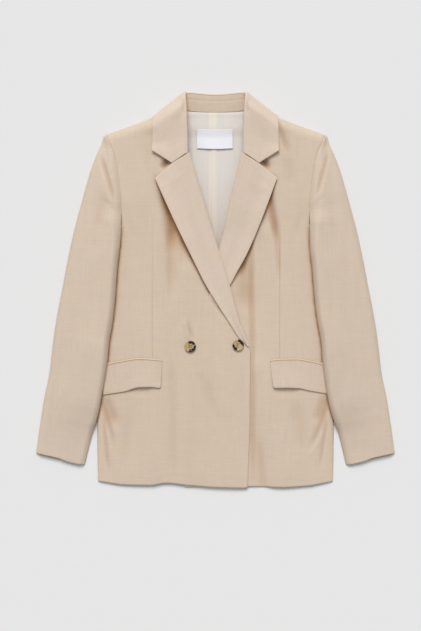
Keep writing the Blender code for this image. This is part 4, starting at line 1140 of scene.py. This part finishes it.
def collar(finish, standFinish):
    look = collarShape
    fall, stand, lengths, share = collarSections()
    fall, stand = bothHalves(fall), bothHalves(stand)
    steps = np.linalg.norm(np.diff(bothHalves(lengths), axis=0), axis=1)
    station = np.concatenate(((0,), np.cumsum(steps + 1.0)))
    ends = np.linspace(0, 1, look["rows"])
    rows = station[-1] * (ends + 0.018 * np.sin(2 * math.pi * ends))
    rows = np.sort(np.concatenate((rows, (0.5, 1.2, station[-1] - 1.2, station[-1] - 0.5))))
    fallGrid = curveThrough(station, fall, rows)
    standGrid = curveThrough(station, stand, rows)
    # the laid front halves: edge lift, belly and slight unevenness, dying out where the collar folds under
    flatFrom = lapels["ringSteps"] - 1
    x, y = fallGrid[:, flatFrom:, 0], fallGrid[:, flatFrom:, 1]
    bySide = lambda right, left: np.where(x < 0, right, left)
    fromEnd = station[-1] / 2 - np.abs(rows - station[-1] / 2)
    laid = ease(fromEnd, 95, 62)[:, None]
    across = share[None, :]
    lift = bySide(look["edgeLift"][-1], look["edgeLift"][1]) * ease(across, 0.5, 1.0) ** 1.4
    belly = look["belly"] * np.sin(math.pi * np.clip(across * 1.15, 0, 1)) ** 2
    uneven = (drape(x, y, look["seed"], look["drape"]) + 0.2) * ease(across, 0.05, 0.3)
    folds = bySide(frontFolds(-1, np.abs(x), y), frontFolds(1, np.abs(x), y))
    folds = np.maximum(folds, 0) * ease(across, 0.1, 0.35)
    fallGrid[:, flatFrom:, 2] += laid * (lift + belly + uneven + folds)
    # pressed thin at the outer edge and at the gorge
    width = np.linalg.norm(fallGrid[:, -1] - fallGrid[:, flatFrom], axis=1)[:, None]
    toEdge = (1 - share)[None, :] * width
    fallGrid[:, flatFrom:, 2] -= look["edgeFall"] * nearEdge(toEdge, look["edgeWide"]) * laid
    toEnd = np.minimum(rows, station[-1] - rows)[:, None]
    gorgeLift = bySide(look["gorgeLift"][-1], look["gorgeLift"][1]) * ease(across, 0.0, 0.1)
    pointLift = look["pointLift"] * ease(across, 0.42, 0.58)
    fallGrid[:, flatFrom:, 2] += (gorgeLift + pointLift) * ease(toEnd, 30, 0)
    thin = look["gorgeFall"] * nearEdge(toEnd, look["gorgeWide"])
    fallGrid[:, flatFrom:, 2] -= thin * ease(across, 0.40, 0.46)
    climb = np.linspace(0, 1, standGrid.shape[1])[None, :]
    inside = ease(fromEnd, 8, 40)[:, None]
    seam = bell(climb - look["seamAt"], look["seamWide"])
    shallow = look["standBelly"] * np.sin(math.pi * climb)
    ripple = look["ripple"] * softWave(rows[:, None], 40 * climb, 17, 22, look["rippleSeed"])
    ripple = ripple * np.sin(math.pi * climb)
    standGrid[:, :, 2] += inside * (shallow + ripple - look["seamDeep"] * seam)
    fallGrain, standGrain = [grainOf(rows[:, None], wayAcross(part)) for part in (fallGrid, standGrid)]
    fallPiece = sheetPiece("collarFall", [fallGrid], [fallGrain], cloth["turnedWall"], finish, 0.5)
    standPiece = sheetPiece("collarStand", [standGrid], [standGrain], cloth["liningWall"], standFinish, 0.3)
    declare(fallPiece, ["collar_fall"], look["flat"], look["area"])
    declare(standPiece, ["collar_stand"], look["standFlat"], look["standArea"])


# sleeves: one tube each, on the ground beside the body, its inner side over the body

sleeves = {
    # inner y, inner x, outer y, outer x, depth of the tube
    "tube": ((-321, 241, -301, 331.5, 6.5), (-261, 226.4, -241, 323, 9), (-220, 215, -199, 316.3, 10.8),
             (-171, 206, -151, 306.5, 12.8), (-131, 200.6, -111, 302, 14.2), (-100, 198.2, -80, 298, 15.5),
             (-57, 190.6, -37, 290.8, 16), (-19, 186, 0, 283.5, 16), (40, 181, 57, 272.6, 16),
             (92, 174.6, 106, 262, 15), (118, 173.3, 130, 255.8, 14.5), (155, 173.3, 165, 246.3, 13.8),
             (186, 175.9, 192, 239, 12.8), (222, 181.3, 223, 229.7, 10.8), (251, 187.4, 253, 218, 7.2),
             (267, 194.9, 270, 210.3, 3.6), (283, 200.9, 284.5, 206.6, 1.2)),
    # distance inside the body's side, how high the lower half rides there
    "overSide": ((-19, 0), (-11, 1.8), (-6, 5.2), (-2, 8.8), (1, 10.9), (4, 12.4), (10, 14.2),
                 (18, 15.2), (46, 17.4), (80, 20.3)),
    # y, further room for the pocket flap's end
    "overFlap": ((-240, 0), (-205, 2.2), (-125, 2.2), (-80, 0.2), (-40, 0), (130, 0)),
    # share across the cuff, how much further down it reaches
    "cuff": ((0, -1), (0.03, -1.7), (0.24, -2.9), (0.40, -2), (0.57, 0), (0.80, 0), (1, 0)),
    "underCuff": 3.2, "cuffFall": 0.4,
    # y, how much further in the inner side lies: right, left
    "inward": ((-261, 0, 0), (-240, 1.5, 2.5), (-200, 1.0, 4.0), (-100, 2.5, 3.5), (-20, 1.5, 3.5),
               (60, 0.8, 3.4), (96, 0.3, 1.2), (118, 0, 0)),
    "creases": {
        -1: ((211, 249, 183, 160, 0, 4.8, -3.4, 0.3), (203, 262, 198, 226, 0, 4.0, -0.8, 0.0),
             (210, 167, 185, 140, -4, 4.0, -0.9, 0.0), (203, 178, 190, 156, -3, 5.0, 0.4, 0.0),
             (207, 184, 212, 112, 0, 12.0, -1.5, 0.0),
             (192, 231, 198, 219, 0, 3.0, -0.6, 0.0), (187, 219, 194, 208, 0, 3.0, -0.6, 0.0),
             (226, 236, 240, 90, 2, 6.0, 1.2, 0.0), (216, 150, 228, 60, 0, 9.0, -1.3, 0.0),
             (196, 128, 214, 62, 2, 7.0, -0.9, 0.0), (250, 110, 262, -40, 0, 10.0, 0.9, 0.0),
             (206, 60, 222, -80, 3, 10.0, -1.3, 0.0), (240, 20, 246, -110, -2, 11.0, -1.0, 0.0),
             (222, -30, 232, -150, 0, 9.0, 0.8, 0.0), (262, -60, 282, -190, 3, 11.0, -0.7, 0.0),
             (196, -40, 206, -120, 0, 6.0, 0.7, 0.0), (232, -120, 250, -205, -3, 10.0, -0.6, 0.0),
             (274, -150, 296, -262, 0, 9.0, 0.8, 0.0), (222, -235, 246, -318, 0, 6.0, 0.9, 0.0),
             (246, -215, 268, -300, 2, 12.0, -0.4, 0.0), (288, -200, 306, -298, 0, 10.0, -0.5, 0.0),
             (206, -150, 216, -206, 0, 5.0, -0.8, 0.0)),
        1: ((209, 262, 179, 162, 3, 4.8, -2.8, -0.3), (200, 268, 196, 232, 0, 4.0, -0.7, 0.0),
            (201, 171, 182, 142, -5, 4.0, -0.9, 0.0), (198, 182, 188, 156, -3, 5.0, 0.4, 0.0),
            (184, 231, 192, 222, 0, 3.0, -0.6, 0.0), (221, 204, 238, 78, 3, 6.0, 1.2, 0.0),
            (212, 160, 222, 70, 0, 8.0, -1.2, 0.0), (190, 120, 210, 54, 0, 7.0, -1.0, 0.0),
            (246, 120, 256, -20, 0, 10.0, 0.8, 0.0), (208, 40, 220, -70, -3, 10.0, -1.2, 0.0),
            (238, 0, 252, -120, 2, 11.0, -1.1, 0.0), (262, -40, 278, -170, 0, 10.0, 0.8, 0.0),
            (198, -60, 208, -140, 0, 6.0, 0.7, 0.0), (226, -100, 240, -200, 3, 10.0, -0.6, 0.0),
            (264, -150, 286, -250, -3, 11.0, -0.5, 0.0), (220, -215, 240, -300, 0, 7.0, 0.8, 0.0),
            (250, -215, 262, -312, 0, 10.0, -0.5, 0.0), (292, -210, 304, -290, 0, 9.0, 0.8, 0.0))},
    "seamRound": 3.4, "seamLift": 1.6, "innerRadius": 10.0, "outerRadius": 13.0, "outerRest": 1.55,
    "fullEdge": 0.4, "creaseStrength": 1.0, "drape": 1.2, "seed": 81, "cuffWide": 2.4,
    # rows up to the underarm, up the head and at its top; columns of the upper half, of each lower half
    "rows": 142, "headRows": 52, "topRows": 8, "columns": 66, "lowColumns": (22, 20),
    "flat": (236, 618), "area": 112000,
}


def underSleeveLevel(own, y):
    inside = smooth(body["side"], np.minimum(y, body["underarm"][1])) - own
    rides = smooth(sleeves["overSide"], inside) * smooth(body["fullness"], y)
    return cloth["sleeveWall"] / 2 + rides + smooth(sleeves["overFlap"], y) * ease(inside, -4, 6)


def sleeve(side, finish):
    look, half = sleeves, cloth["sleeveWall"] / 2
    underarmX, underarmY = body["underarm"]
    frontY, topY = body["underarmFront"][1], backPanel["fanTo"]
    low = np.concatenate(((-321, -320.3, -319.2), np.linspace(-317.5, 112, look["rows"]), (114, 116, frontY)))
    high = np.concatenate((np.linspace(frontY, 270, look["headRows"])[1:],
                           np.linspace(270, 281.5, look["topRows"])[1:]))
    rows = np.concatenate((low, high))
    innerX, outerX, outerY, depth = [smooth(look["tube"], rows, column)[:, None] for column in (1, 3, 2, 4)]
    innerX = innerX - smooth(look["inward"], rows, sideColumn[side])[:, None]
    innerY = rows[:, None]
    # upper half
    share = rounded(look["columns"])[None, :]
    span = outerX - innerX - 2 * half
    free, loose = ease(rows, 150, 119)[:, None], ease(rows, 175, 40)[:, None]
    own = innerX + half * free + (span + half * (1 - free)) * share
    y = innerY + (outerY - innerY) * share
    onBody = underSleeveLevel(innerX, innerY) + 0.75 + look["seamLift"] * ease(innerY, -300, -250)
    onSeam = frontLevel(side, innerX, innerY) - 0.35
    innerZ = onSeam + (onBody - onSeam) * free
    outerZ = np.full_like(outerX, look["outerRest"])
    base = outerZ + (innerZ - outerZ) * ease(share, 1, 0)
    innerRadius = look["innerRadius"] + 16 * (1 - loose)
    fromSeam = np.clip(span * share / innerRadius, 0, 1)
    roundIn = fromSeam * (2 - fromSeam)
    roundIn = roundIn + look["fullEdge"] * (quarter(fromSeam) - roundIn) * loose
    z = base + depth * roundIn * quarter(span * (1 - share) / look["outerRadius"])
    inner = ease(span * share, 3, 14) * ease(span * (1 - share), 4, 18)
    folds = look["creaseStrength"] * creaseHeight(own, y, look["creases"][side])
    folds = folds + drape(own, y, look["seed"] + side, look["drape"])
    z = z + folds * inner
    toCuff = (rows - rows[0])[:, None]
    z = z - look["cuffFall"] * nearEdge(toCuff, look["cuffWide"])
    dip = smooth(look["cuff"], share) * ease(toCuff, 60, 0)
    top = grid(own * side, y + dip, z)
    # lower half: on the ground, and over the body's side below the underarm
    count = len(low)
    inX, outX, outY = innerX[:count] + half, outerX[:count] - half, outerY[:count]
    corner = float((underarmX + 1.0 - inX[-1, 0]) / (outX[-1, 0] - inX[-1, 0]))
    inColumns, outColumns = look["lowColumns"]
    lowShare = np.concatenate((np.linspace(0, corner, inColumns)[:-1],
                               corner + (1 - corner) * rounded(outColumns)))[None, :]
    lowOwn = inX + (outX - inX) * lowShare
    lowY = low[:, None] + (outY - low[:, None]) * lowShare
    sag = (low[-1] + (outY[-1, 0] - low[-1]) * corner) - underarmY
    lowY = lowY - sag * tent(lowShare, corner) * ease(low, 20, frontY)[:, None] ** 2
    lowZ = underSleeveLevel(lowOwn, lowY)
    turnIn = 1 - quarter((lowOwn - inX) / look["seamRound"])
    turnOut = 1 - quarter((outX - lowOwn) / look["seamRound"])
    lowZ = lowZ + (innerZ[:count] - lowZ[:, :1]) * turnIn + (outerZ[:count] - lowZ[:, -1:]) * turnOut
    longer = look["underCuff"] * ease(lowShare, 0.2, 0.35) * ease(lowShare, 1, 0.9)
    longer = longer * ease(toCuff[:count], 22, 0)
    under = grid(lowOwn * side, lowY - longer, lowZ)
    under[:, 0], under[:, -1] = top[:count, 0], top[:count, -1]
    # the part between the back's armhole and the sleeve head
    climb = ((rows[count - 1:] - frontY) / (rows[-1] - frontY))[:, None]
    holeY = underarmY + (topY - underarmY) * climb
    holeX = smooth(body["backArmhole"], holeY) + 2 * cloth["seamGap"]
    start = int(np.argmin(np.abs(lowShare[0] - corner)))
    holeX[0, 0] = lowOwn[-1, start]
    rim = top[count - 1:, -1]
    highShare = (lowShare[:, start:] - corner) / (1 - corner)
    highX = holeX + (np.abs(rim[:, :1]) - holeX) * highShare
    highY = holeY + (rim[:, 1:2] - holeY) * highShare
    flatLevel = half + (lowZ[-1, start:] - half)[None, :] * ease(climb, 0.16, 0)
    turnRim = 1 - quarter((np.abs(rim[:, :1]) - highX) / look["seamRound"])
    highZ = flatLevel + (rim[:, 2:3] - flatLevel[:, -1:]) * turnRim
    shoulder = grid(highX * side, highY, highZ)
    shoulder[0] = under[-1, start:]
    shoulder[:, -1] = rim
    grains = [grainOf(own * side, y), grainOf(-lowOwn * side, lowY), grainOf(-highX * side, highY)]
    # painted shade: darker in the sleeve's creases and along its inner edge, where it lies on the body
    paintedShade = -folds * inner - 0.9 + 3.0 * ease(span * share, 3, 0.5) * ease(rows, 122, 108)[:, None]
    piece = sheetPiece("sleeve" + sideWords[side], [top, under, shoulder], grains, cloth["sleeveWall"],
                       finish, paintedShade=paintedShade)
    nodes = ["sleeve_" + nodeWords[side] + "_top", "sleeve_" + nodeWords[side] + "_under"]
    return declare(piece, nodes, look["flat"], look["area"])


# pockets: a jet with a flap hanging from it, whose outer end goes under the sleeve

pockets = {
    # own x, y of the flap's seam; of its lower edge; of the jet's upper edge
    "flapTop": {-1: ((98.3, -131.3), (112, -129.8), (140, -128.2), (165, -131.4), (205, -139.5)),
                1: ((100.8, -132), (112, -129.8), (150, -129), (166, -131.4), (205, -140))},
    "flapBottom": {-1: ((101, -181), (120, -178.6), (141, -179.2), (166, -186.6), (207, -193.5)),
                   1: ((106.5, -180.6), (130, -180), (155, -181.2), (171, -185), (207, -191.5))},
    "jetTop": {-1: ((101, -127.2), (121, -124.8), (148, -124.4), (162, -126.8), (203, -134.6)),
               1: ((102, -127.6), (122, -125.4), (148, -124.8), (164, -127.2), (203, -135))},
    # own x, how far the flap's lower edge hangs off the front
    "lift": {-1: ((98, 1.6), (112, 2.4), (128, 3.8), (148, 3.4), (165, 1.4), (207, 0.2)),
             1: ((98, 2.2), (108, 3.2), (125, 4.2), (146, 3.6), (160, 1.6), (207, 0.2))},
    # about how far the flap falls and reaches, to measure what is near its edges
    "fall": 52, "across": 106, "edgeFall": 0.45, "edgeWide": 2.2, "seamFall": 0.7, "seamWide": 3.0,
    # the first value below is the strength of painted shade along the flap's and jet's seams
    "seamShadePaint": 4.2, "drape": 0.4, "seed": 91, "columns": 60, "rows": 32, "jetRows": 10,
    "flapFlat": (108, 55), "flapArea": 5700, "jetFlat": (107, 10), "jetArea": 520,
}


def alongEdge(table, share):
    x = table[0][0] + (table[-1][0] - table[0][0]) * share
    return x, smooth(table, x)


def pocketGround(side, own, y):
    # the front below a pocket, with its deeper creases bridged
    return np.maximum(frontLevel(side, own, y), frontLevel(side, own, y, False) - 0.6)


def between(low, high, climb):
    return low[None, :] + (high - low)[None, :] * climb


def pocket(side, flapFinish, jetFinish):
    look, word = pockets, sideWords[side]
    share = np.sort(np.concatenate((np.linspace(0, 1, look["columns"]), (0.004, 0.009))))
    lowX, lowY = alongEdge(look["flapBottom"][side], share)
    highX, highY = alongEdge(look["flapTop"][side], share)
    climb = np.concatenate((np.linspace(0, 0.97, look["rows"]), (0.012, 0.98, 0.986, 0.992, 0.996, 1)))
    climb = np.sort(climb)[:, None]
    corner = 1.6 * nearEdge(share, 0.05)[None, :] * nearEdge(climb, 0.1)
    own = between(lowX, highX, climb) + corner * 0.7
    y = between(lowY, highY, climb) + corner
    lift = smooth(look["lift"][side], own) * (1 - climb) ** 1.6
    wave = drape(own, y, look["seed"] + side, look["drape"]) * ease(climb, 1, 0.5)
    z = pocketGround(side, own, y) + restOn(cloth["turnedWall"]) + lift + np.maximum(wave, -0.3) + 0.1
    toEdge = np.minimum(look["fall"] * climb, look["across"] * share[None, :])
    toSeam = look["fall"] * (1 - climb)
    z = z - look["edgeFall"] * nearEdge(toEdge, look["edgeWide"])
    z = z - look["seamFall"] * nearEdge(toSeam, look["seamWide"])
    # painted shadow on the flap, just under the jet
    paintedShade = np.broadcast_to(look["seamShadePaint"] * bell(toSeam, 1.8), own.shape)
    flap = sheetPiece("pocketFlap" + word, [grid(own * side, y, z)], [grainOf(own * side, y)],
                      cloth["turnedWall"], flapFinish, 0.5, paintedShade)
    declare(flap, ["pocket_flap_" + nodeWords[side]], look["flapFlat"], look["flapArea"])
    seamX, seamY = highX, highY + 1.2 * cloth["seamGap"]
    topX, topY = alongEdge(look["jetTop"][side], share)
    climb = rounded(look["jetRows"])[:, None]
    own, y = between(seamX, topX, climb), between(seamY, topY, climb)
    z = pocketGround(side, own, y) + restOn(cloth["liningWall"])
    z = z + 0.2 * np.sin(math.pi * climb) + 0.9 * ease(climb, 0.7, 0)
    # painted shade along the jet's upper seam
    paintedShade = np.broadcast_to(look["seamShadePaint"] * bell(1 - climb, 0.32), own.shape)
    jet = sheetPiece("pocketJet" + word, [grid(own * side, y, z)], [grainOf(own * side, y)],
                     cloth["liningWall"], jetFinish, 0.3, paintedShade)
    declare(jet, ["pocket_jet_" + nodeWords[side]], look["jetFlat"], look["jetArea"])


# buttons: turned horn, dished face, four holes

buttons = {"radius": 10.5, "thick": 3.6, "edgeRound": 1.15, "dish": 7.2, "dishDeep": 0.8, "dishSlope": 1.3,
           "hole": 0.95, "holeOut": 2.3, "segments": 96, "backDish": 0.35, "softEdge": 0.16, "steps": 8}


def buttonProfile():
    # distance from the middle and height, from the back's middle round the edge to the face's middle
    look = buttons
    radius, thick, bend, steps = look["radius"], look["thick"], look["edgeRound"], look["steps"]
    deep, flank = look["dishDeep"], radius - bend
    points = [(0.0, look["backDish"]), (radius * 0.45, look["backDish"] * 0.8), (radius * 0.72, 0.06),
              (flank, 0.0)]
    angles = [math.pi / 2 * number / steps for number in range(steps + 1)]
    points += [(flank + bend * math.sin(angle), bend - bend * math.cos(angle)) for angle in angles[1:]]
    points += [(flank + bend * math.cos(angle), thick - bend + bend * math.sin(angle)) for angle in angles]
    for number in range(steps + 1):
        share = number / steps
        points.append((look["dish"] + look["dishSlope"] * (0.7 - share),
                       thick - deep * share * share * (3 - 2 * share)))
    return points + [(look["dish"] * 0.6, thick - deep - 0.03), (0.0, thick - deep - 0.05)]


def button(name, node, finish):
    # turns and drills one button; returns the middle of its underside
    look = buttons
    lowest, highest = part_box(node)
    middle = ((lowest.x + highest.x) / 2, (lowest.y + highest.y) / 2, lowest.z)
    work = bmesh.new()
    ring = [work.verts.new((out * mm, 0, up * mm)) for out, up in buttonProfile()]
    edges = [work.edges.new(pair) for pair in zip(ring[:-1], ring[1:])]
    bmesh.ops.spin(work, geom=ring + edges, cent=(0, 0, 0), axis=(0, 0, 1), angle=2 * math.pi,
                   steps=look["segments"], use_merge=True)
    bmesh.ops.remove_doubles(work, verts=work.verts, dist=0.005 * mm)
    bmesh.ops.recalc_face_normals(work, faces=work.faces)
    bmesh.ops.translate(work, verts=work.verts, vec=middle)
    mesh = bpy.data.meshes.new(name)
    work.to_mesh(mesh)
    work.free()
    piece = place(name, mesh, finish)
    drills = bmesh.new()
    hole, out = look["hole"] * mm, look["holeOut"]
    for number in range(4):
        angle = math.pi / 4 + math.pi / 2 * number
        made = bmesh.ops.create_cone(drills, cap_ends=True, segments=28, radius1=hole, radius2=hole,
                                     depth=3 * look["thick"] * mm)
        holeAt = (middle[0] + out * math.cos(angle) * mm, middle[1] + out * math.sin(angle) * mm, middle[2])
        bmesh.ops.translate(drills, verts=made["verts"], vec=holeAt)
    drillMesh = bpy.data.meshes.new("drills")
    drills.to_mesh(drillMesh)
    drills.free()
    cutter = place("drills", drillMesh, finish)
    cut = piece.modifiers.new("holes", "BOOLEAN")
    cut.operation = "DIFFERENCE"
    cut.solver = "EXACT"
    cut.object = cutter
    soft = piece.modifiers.new("softEdge", "BEVEL")
    soft.width = look["softEdge"] * mm
    soft.segments = 2
    soft.limit_method = "ANGLE"
    soft.angle_limit = math.radians(50)
    settle(piece, 40)
    bpy.data.objects.remove(cutter, do_unlink=True)
    bpy.data.meshes.remove(drillMesh)
    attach(piece, "root")
    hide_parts(node)
    return middle


# sewing: Geometry Nodes lay the threads in the buttons and the stitches round the label

sewing = {"thread": 0.34, "strands": 3, "arch": 0.55, "stitch": 1.9, "stitchPitch": 3.1, "stitchThread": 0.24,
          "seed": 5, "labelInset": 1.1, "lineInset": 1.0, "lineFoot": 0.5, "overLabel": 0.02}


def nodeTree(name, inputs):
    # a new tree with named inputs; returns it with its Wire, a reader for each input and its output node
    tree = bpy.data.node_groups.new(name, "GeometryNodeTree")
    tree.interface.new_socket("Geometry", in_out="INPUT", socket_type="NodeSocketGeometry")
    tree.interface.new_socket("Geometry", in_out="OUTPUT", socket_type="NodeSocketGeometry")
    for label, (kind, value) in inputs.items():
        made = tree.interface.new_socket(label, in_out="INPUT", socket_type=kind)
        if value is not None:
            made.default_value = value
    entry, ending = tree.nodes.new("NodeGroupInput"), tree.nodes.new("NodeGroupOutput")
    return tree, Wire(tree), lambda label: Wire(tree, found(entry.outputs, label)), ending


def threadArch(start, half, handle, foot, high, radius, steps, sides):
    # a closed thread that comes up, runs over and goes down again
    values = {"Resolution": steps}
    for label, x, z in (("Start", half * -1, foot), ("Start Handle", half * -handle, high),
                        ("End Handle", half * handle, high), ("End", half, foot)):
        values[label] = start.vector(x, 0.0, z)
    path = start.node("GeometryNodeCurvePrimitiveBezierSegment", None, values)
    rim = start.node("GeometryNodeCurvePrimitiveCircle", None, {"Resolution": sides, "Radius": radius})
    return start.node("GeometryNodeCurveToMesh", None, {
        "Curve": path, "Profile Curve": rim, "Fill Caps": True})


def endTree(tree, start, given, ending, laid):
    real = start.node("GeometryNodeRealizeInstances", None, {"Geometry": laid})
    done = start.node("GeometryNodeSetMaterial", None, {"Geometry": real, "Material": given("Finish")})
    tree.links.new(done.socket, ending.inputs[0])


def runTree(name, base, tree, values, finish):
    piece = place(name, base, finish)
    run = piece.modifiers.new("lay", "NODES")
    run.node_group = tree
    for item in tree.interface.items_tree:
        if item.item_type == "SOCKET" and item.in_out == "INPUT" and item.name in values:
            run[item.identifier] = values[item.name]
    return settle(piece, 60)


def buttonThreads(middles, finish):
    # each button has two bars of strands, each running from hole to hole
    tree, start, given, ending = nodeTree("threadBars", {
        "Bar length": ("NodeSocketFloat", 0.003), "Arch": ("NodeSocketFloat", 0.0005),
        "Thread radius": ("NodeSocketFloat", 0.00017), "Strands": ("NodeSocketInt", 3),
        "Strand gap": ("NodeSocketFloat", 0.0003), "Finish": ("NodeSocketMaterial", None)})
    strand = threadArch(start, given("Bar length") * 0.5, 0.9, given("Arch") * -2.2, given("Arch") * 1.25,
                        given("Thread radius"), 12, 8)
    gap = start.vector(0.0, given("Strand gap"), 0.0)
    row = start.node("GeometryNodeMeshLine", {"mode": "OFFSET"}, {"Count": given("Strands"), "Offset": gap})
    bar = start.node("GeometryNodeInstanceOnPoints", None, {"Points": row, "Instance": strand})
    middle = (given("Strands") - 1) * 0.5 * given("Strand gap") * -1
    bar = start.node("GeometryNodeTransform", None, {
        "Geometry": bar, "Translation": start.vector(0.0, middle, 0.0)})
    laid = start.node("GeometryNodeInstanceOnPoints", None, {"Points": given("Geometry"), "Instance": bar})
    endTree(tree, start, given, ending, laid)
    out = buttons["holeOut"] * math.cos(math.pi / 4) * mm
    face = (buttons["thick"] - buttons["dishDeep"] + 0.12) * mm
    base = bpy.data.meshes.new("threadPlaces")
    base.from_pydata([(x, y + up * out, z + face) for x, y, z in middles for up in (-1, 1)], [], [])
    piece = runTree("buttonThreads", base, tree, {
        "Bar length": 2 * out, "Arch": sewing["arch"] * mm, "Thread radius": sewing["thread"] / 2 * mm,
        "Strands": sewing["strands"], "Strand gap": sewing["thread"] * 0.92 * mm, "Finish": finish}, finish)
    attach(piece, "root")


def labelStitches(lines, finish):
    # lines are runs of points in metres; a stitch is laid at every pitch along them
    tree, start, given, ending = nodeTree("runningStitch", {
        "Pitch": ("NodeSocketFloat", 0.003), "Stitch": ("NodeSocketFloat", 0.0018),
        "Thread radius": ("NodeSocketFloat", 0.00012), "Unevenness": ("NodeSocketFloat", 0.06),
        "Seed": ("NodeSocketInt", 5), "Finish": ("NodeSocketMaterial", None)})
    path = start.node("GeometryNodeMeshToCurve", None, {"Mesh": given("Geometry")})
    spots = start.node("GeometryNodeResampleCurve", {"mode": "LENGTH"}, {
        "Curve": path, "Length": given("Pitch")})
    along = start.node("GeometryNodeInputTangent")
    facing = start.node("FunctionNodeAlignRotationToVector", {"axis": "X"}, {"Vector": along})
    radius = given("Thread radius")
    stitch = threadArch(start, given("Stitch") * 0.5, 0.6, radius * -1.2, radius * 1.3, radius, 6, 6)
    jitter = start.node("FunctionNodeRandomValue", {"data_type": "FLOAT"}, {
        "Min": 1 - given("Unevenness"), "Max": 1 + given("Unevenness"), "Seed": given("Seed")}, "Value")
    laid = start.node("GeometryNodeInstanceOnPoints", None, {"Points": spots, "Instance": stitch,
                                                             "Rotation": facing, "Scale": jitter})
    endTree(tree, start, given, ending, laid)
    points, edges = [], []
    for line in lines:
        edges += [(len(points) + n, len(points) + n + 1) for n in range(len(line) - 1)]
        points += [tuple(point) for point in line]
    base = bpy.data.meshes.new("stitchLines")
    base.from_pydata(points, edges, [])
    piece = runTree("labelStitches", base, tree, {
        "Pitch": sewing["stitchPitch"] * mm, "Stitch": sewing["stitch"] * mm,
        "Thread radius": sewing["stitchThread"] / 2 * mm, "Seed": sewing["seed"], "Finish": finish}, finish)
    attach(piece, "root")


# making everything

shellLinen, sleeveLinen, facingLinen, standLinen, flapLinen = [linen(name) for name in linenTones]
back(shellLinen)
lining(liningCloth())
labelPiece = neckLabel(labelSatin())
print("back, lining and label laid")
for side in (1, -1):
    front(side, shellLinen)
for side in (1, -1):
    lapel(side, facingLinen)
collar(facingLinen, standLinen)
print("fronts, lapels and collar laid")
for side in (1, -1):
    sleeve(side, sleeveLinen)
for side in (1, -1):
    pocket(side, flapLinen, shellLinen)
print("sleeves and pockets laid")

threadFinish = thread("buttonThread", (188, 164, 134))
middles = []
for name in ("Inner", "Edge"):
    lowest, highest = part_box("button_" + name.lower())
    centre = ((lowest.x + highest.x) / 2, (lowest.y + highest.y) / 2, highest.z)
    middles.append(button("button" + name, "button_" + name.lower(), horn(name, centre)))
buttonThreads(middles, threadFinish)
print("buttons sewn on")

# the label is caught down along its two folded ends and its top
lowest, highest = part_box("neck_label")
insetX = sewing["labelInset"] * mm
endXs = (lowest.x + insetX, highest.x - insetX)
endYs = (lowest.y + insetX, highest.y - insetX)
surface = [vertex.co.copy() for vertex in labelPiece.data.vertices]


def onLabel(x, y):
    # height of the label's face at a place
    near = [point.z for point in surface if (point.x - x) ** 2 + (point.y - y) ** 2 < (1.6 * mm) ** 2]
    return max(near) + sewing["overLabel"] * mm


topXs = np.linspace(endXs[0] + sewing["lineInset"] * mm, endXs[1] - sewing["lineInset"] * mm, 30)
sideYs = np.linspace(endYs[0] + sewing["lineFoot"] * mm, endYs[1], 18)
stitchLines = [[(x, endYs[1], onLabel(x, endYs[1])) for x in topXs]]
stitchLines += [[(x, y, onLabel(x, y)) for y in sideYs] for x in endXs]
labelStitches(stitchLines, thread("labelThread", (228, 228, 234), 0.0004))
print("label stitched")


# the stage: pale paper, one large soft light from beyond the collar, a soft surrounding light,
# the camera above; cameraOver is the spot below it, in millimetres, and the rest is metres and degrees

stageLook = {
    "floorShade": 0.79, "floorSize": 3.4, "keyStrength": 2.36, "keySoftness": 30.0,
    "keyFrom": (-0.2, 2.0, 2.2), "surround": 0.45, "cameraOver": (-9.1, -47.4), "cameraHeight": 3.005,
    "viewHeight": 1.167, "sensor": 36,
}

floorMesh = bpy.data.meshes.new("floor")
reach = stageLook["floorSize"] / 2
corners = [(-reach, -reach, 0), (reach, -reach, 0), (reach, reach, 0), (-reach, reach, 0)]
floorMesh.from_pydata(corners, [], [(0, 1, 2, 3)])
floor = place("floor", floorMesh, paperFloor())
floor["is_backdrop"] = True

key = bpy.data.lights.new("keyLight", "SUN")
key.energy = stageLook["keyStrength"]
key.angle = math.radians(stageLook["keySoftness"])
keyLight = bpy.data.objects.new("keyLight", key)
bpy.context.scene.collection.objects.link(keyLight)
keyLight.location = stageLook["keyFrom"]
keyLight.rotation_euler = keyLight.location.to_track_quat("Z", "Y").to_euler()
sky = bpy.data.worlds.new("softRoom")
sky.use_nodes = True
shine = sky.node_tree.nodes["Background"].inputs
shine["Color"].default_value = (1.0, 1.0, 1.0, 1.0)
shine["Strength"].default_value = stageLook["surround"]
bpy.context.scene.world = sky

lens = bpy.data.cameras.new("camera")
lens.sensor_fit = "VERTICAL"
lens.sensor_height = stageLook["sensor"]
lens.lens = stageLook["sensor"] * stageLook["cameraHeight"] / stageLook["viewHeight"]
lens.clip_end = 20
camera = bpy.data.objects.new("camera", lens)
bpy.context.scene.collection.objects.link(camera)
overX, overY = stageLook["cameraOver"]
camera.location = (overX * mm, overY * mm, stageLook["cameraHeight"])
bpy.context.scene.camera = camera
bpy.context.scene.view_settings.view_transform = "Standard"
print("floor, lights and camera set")

{"cadBox": cadBox, "visualBox": [list(corner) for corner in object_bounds()]}
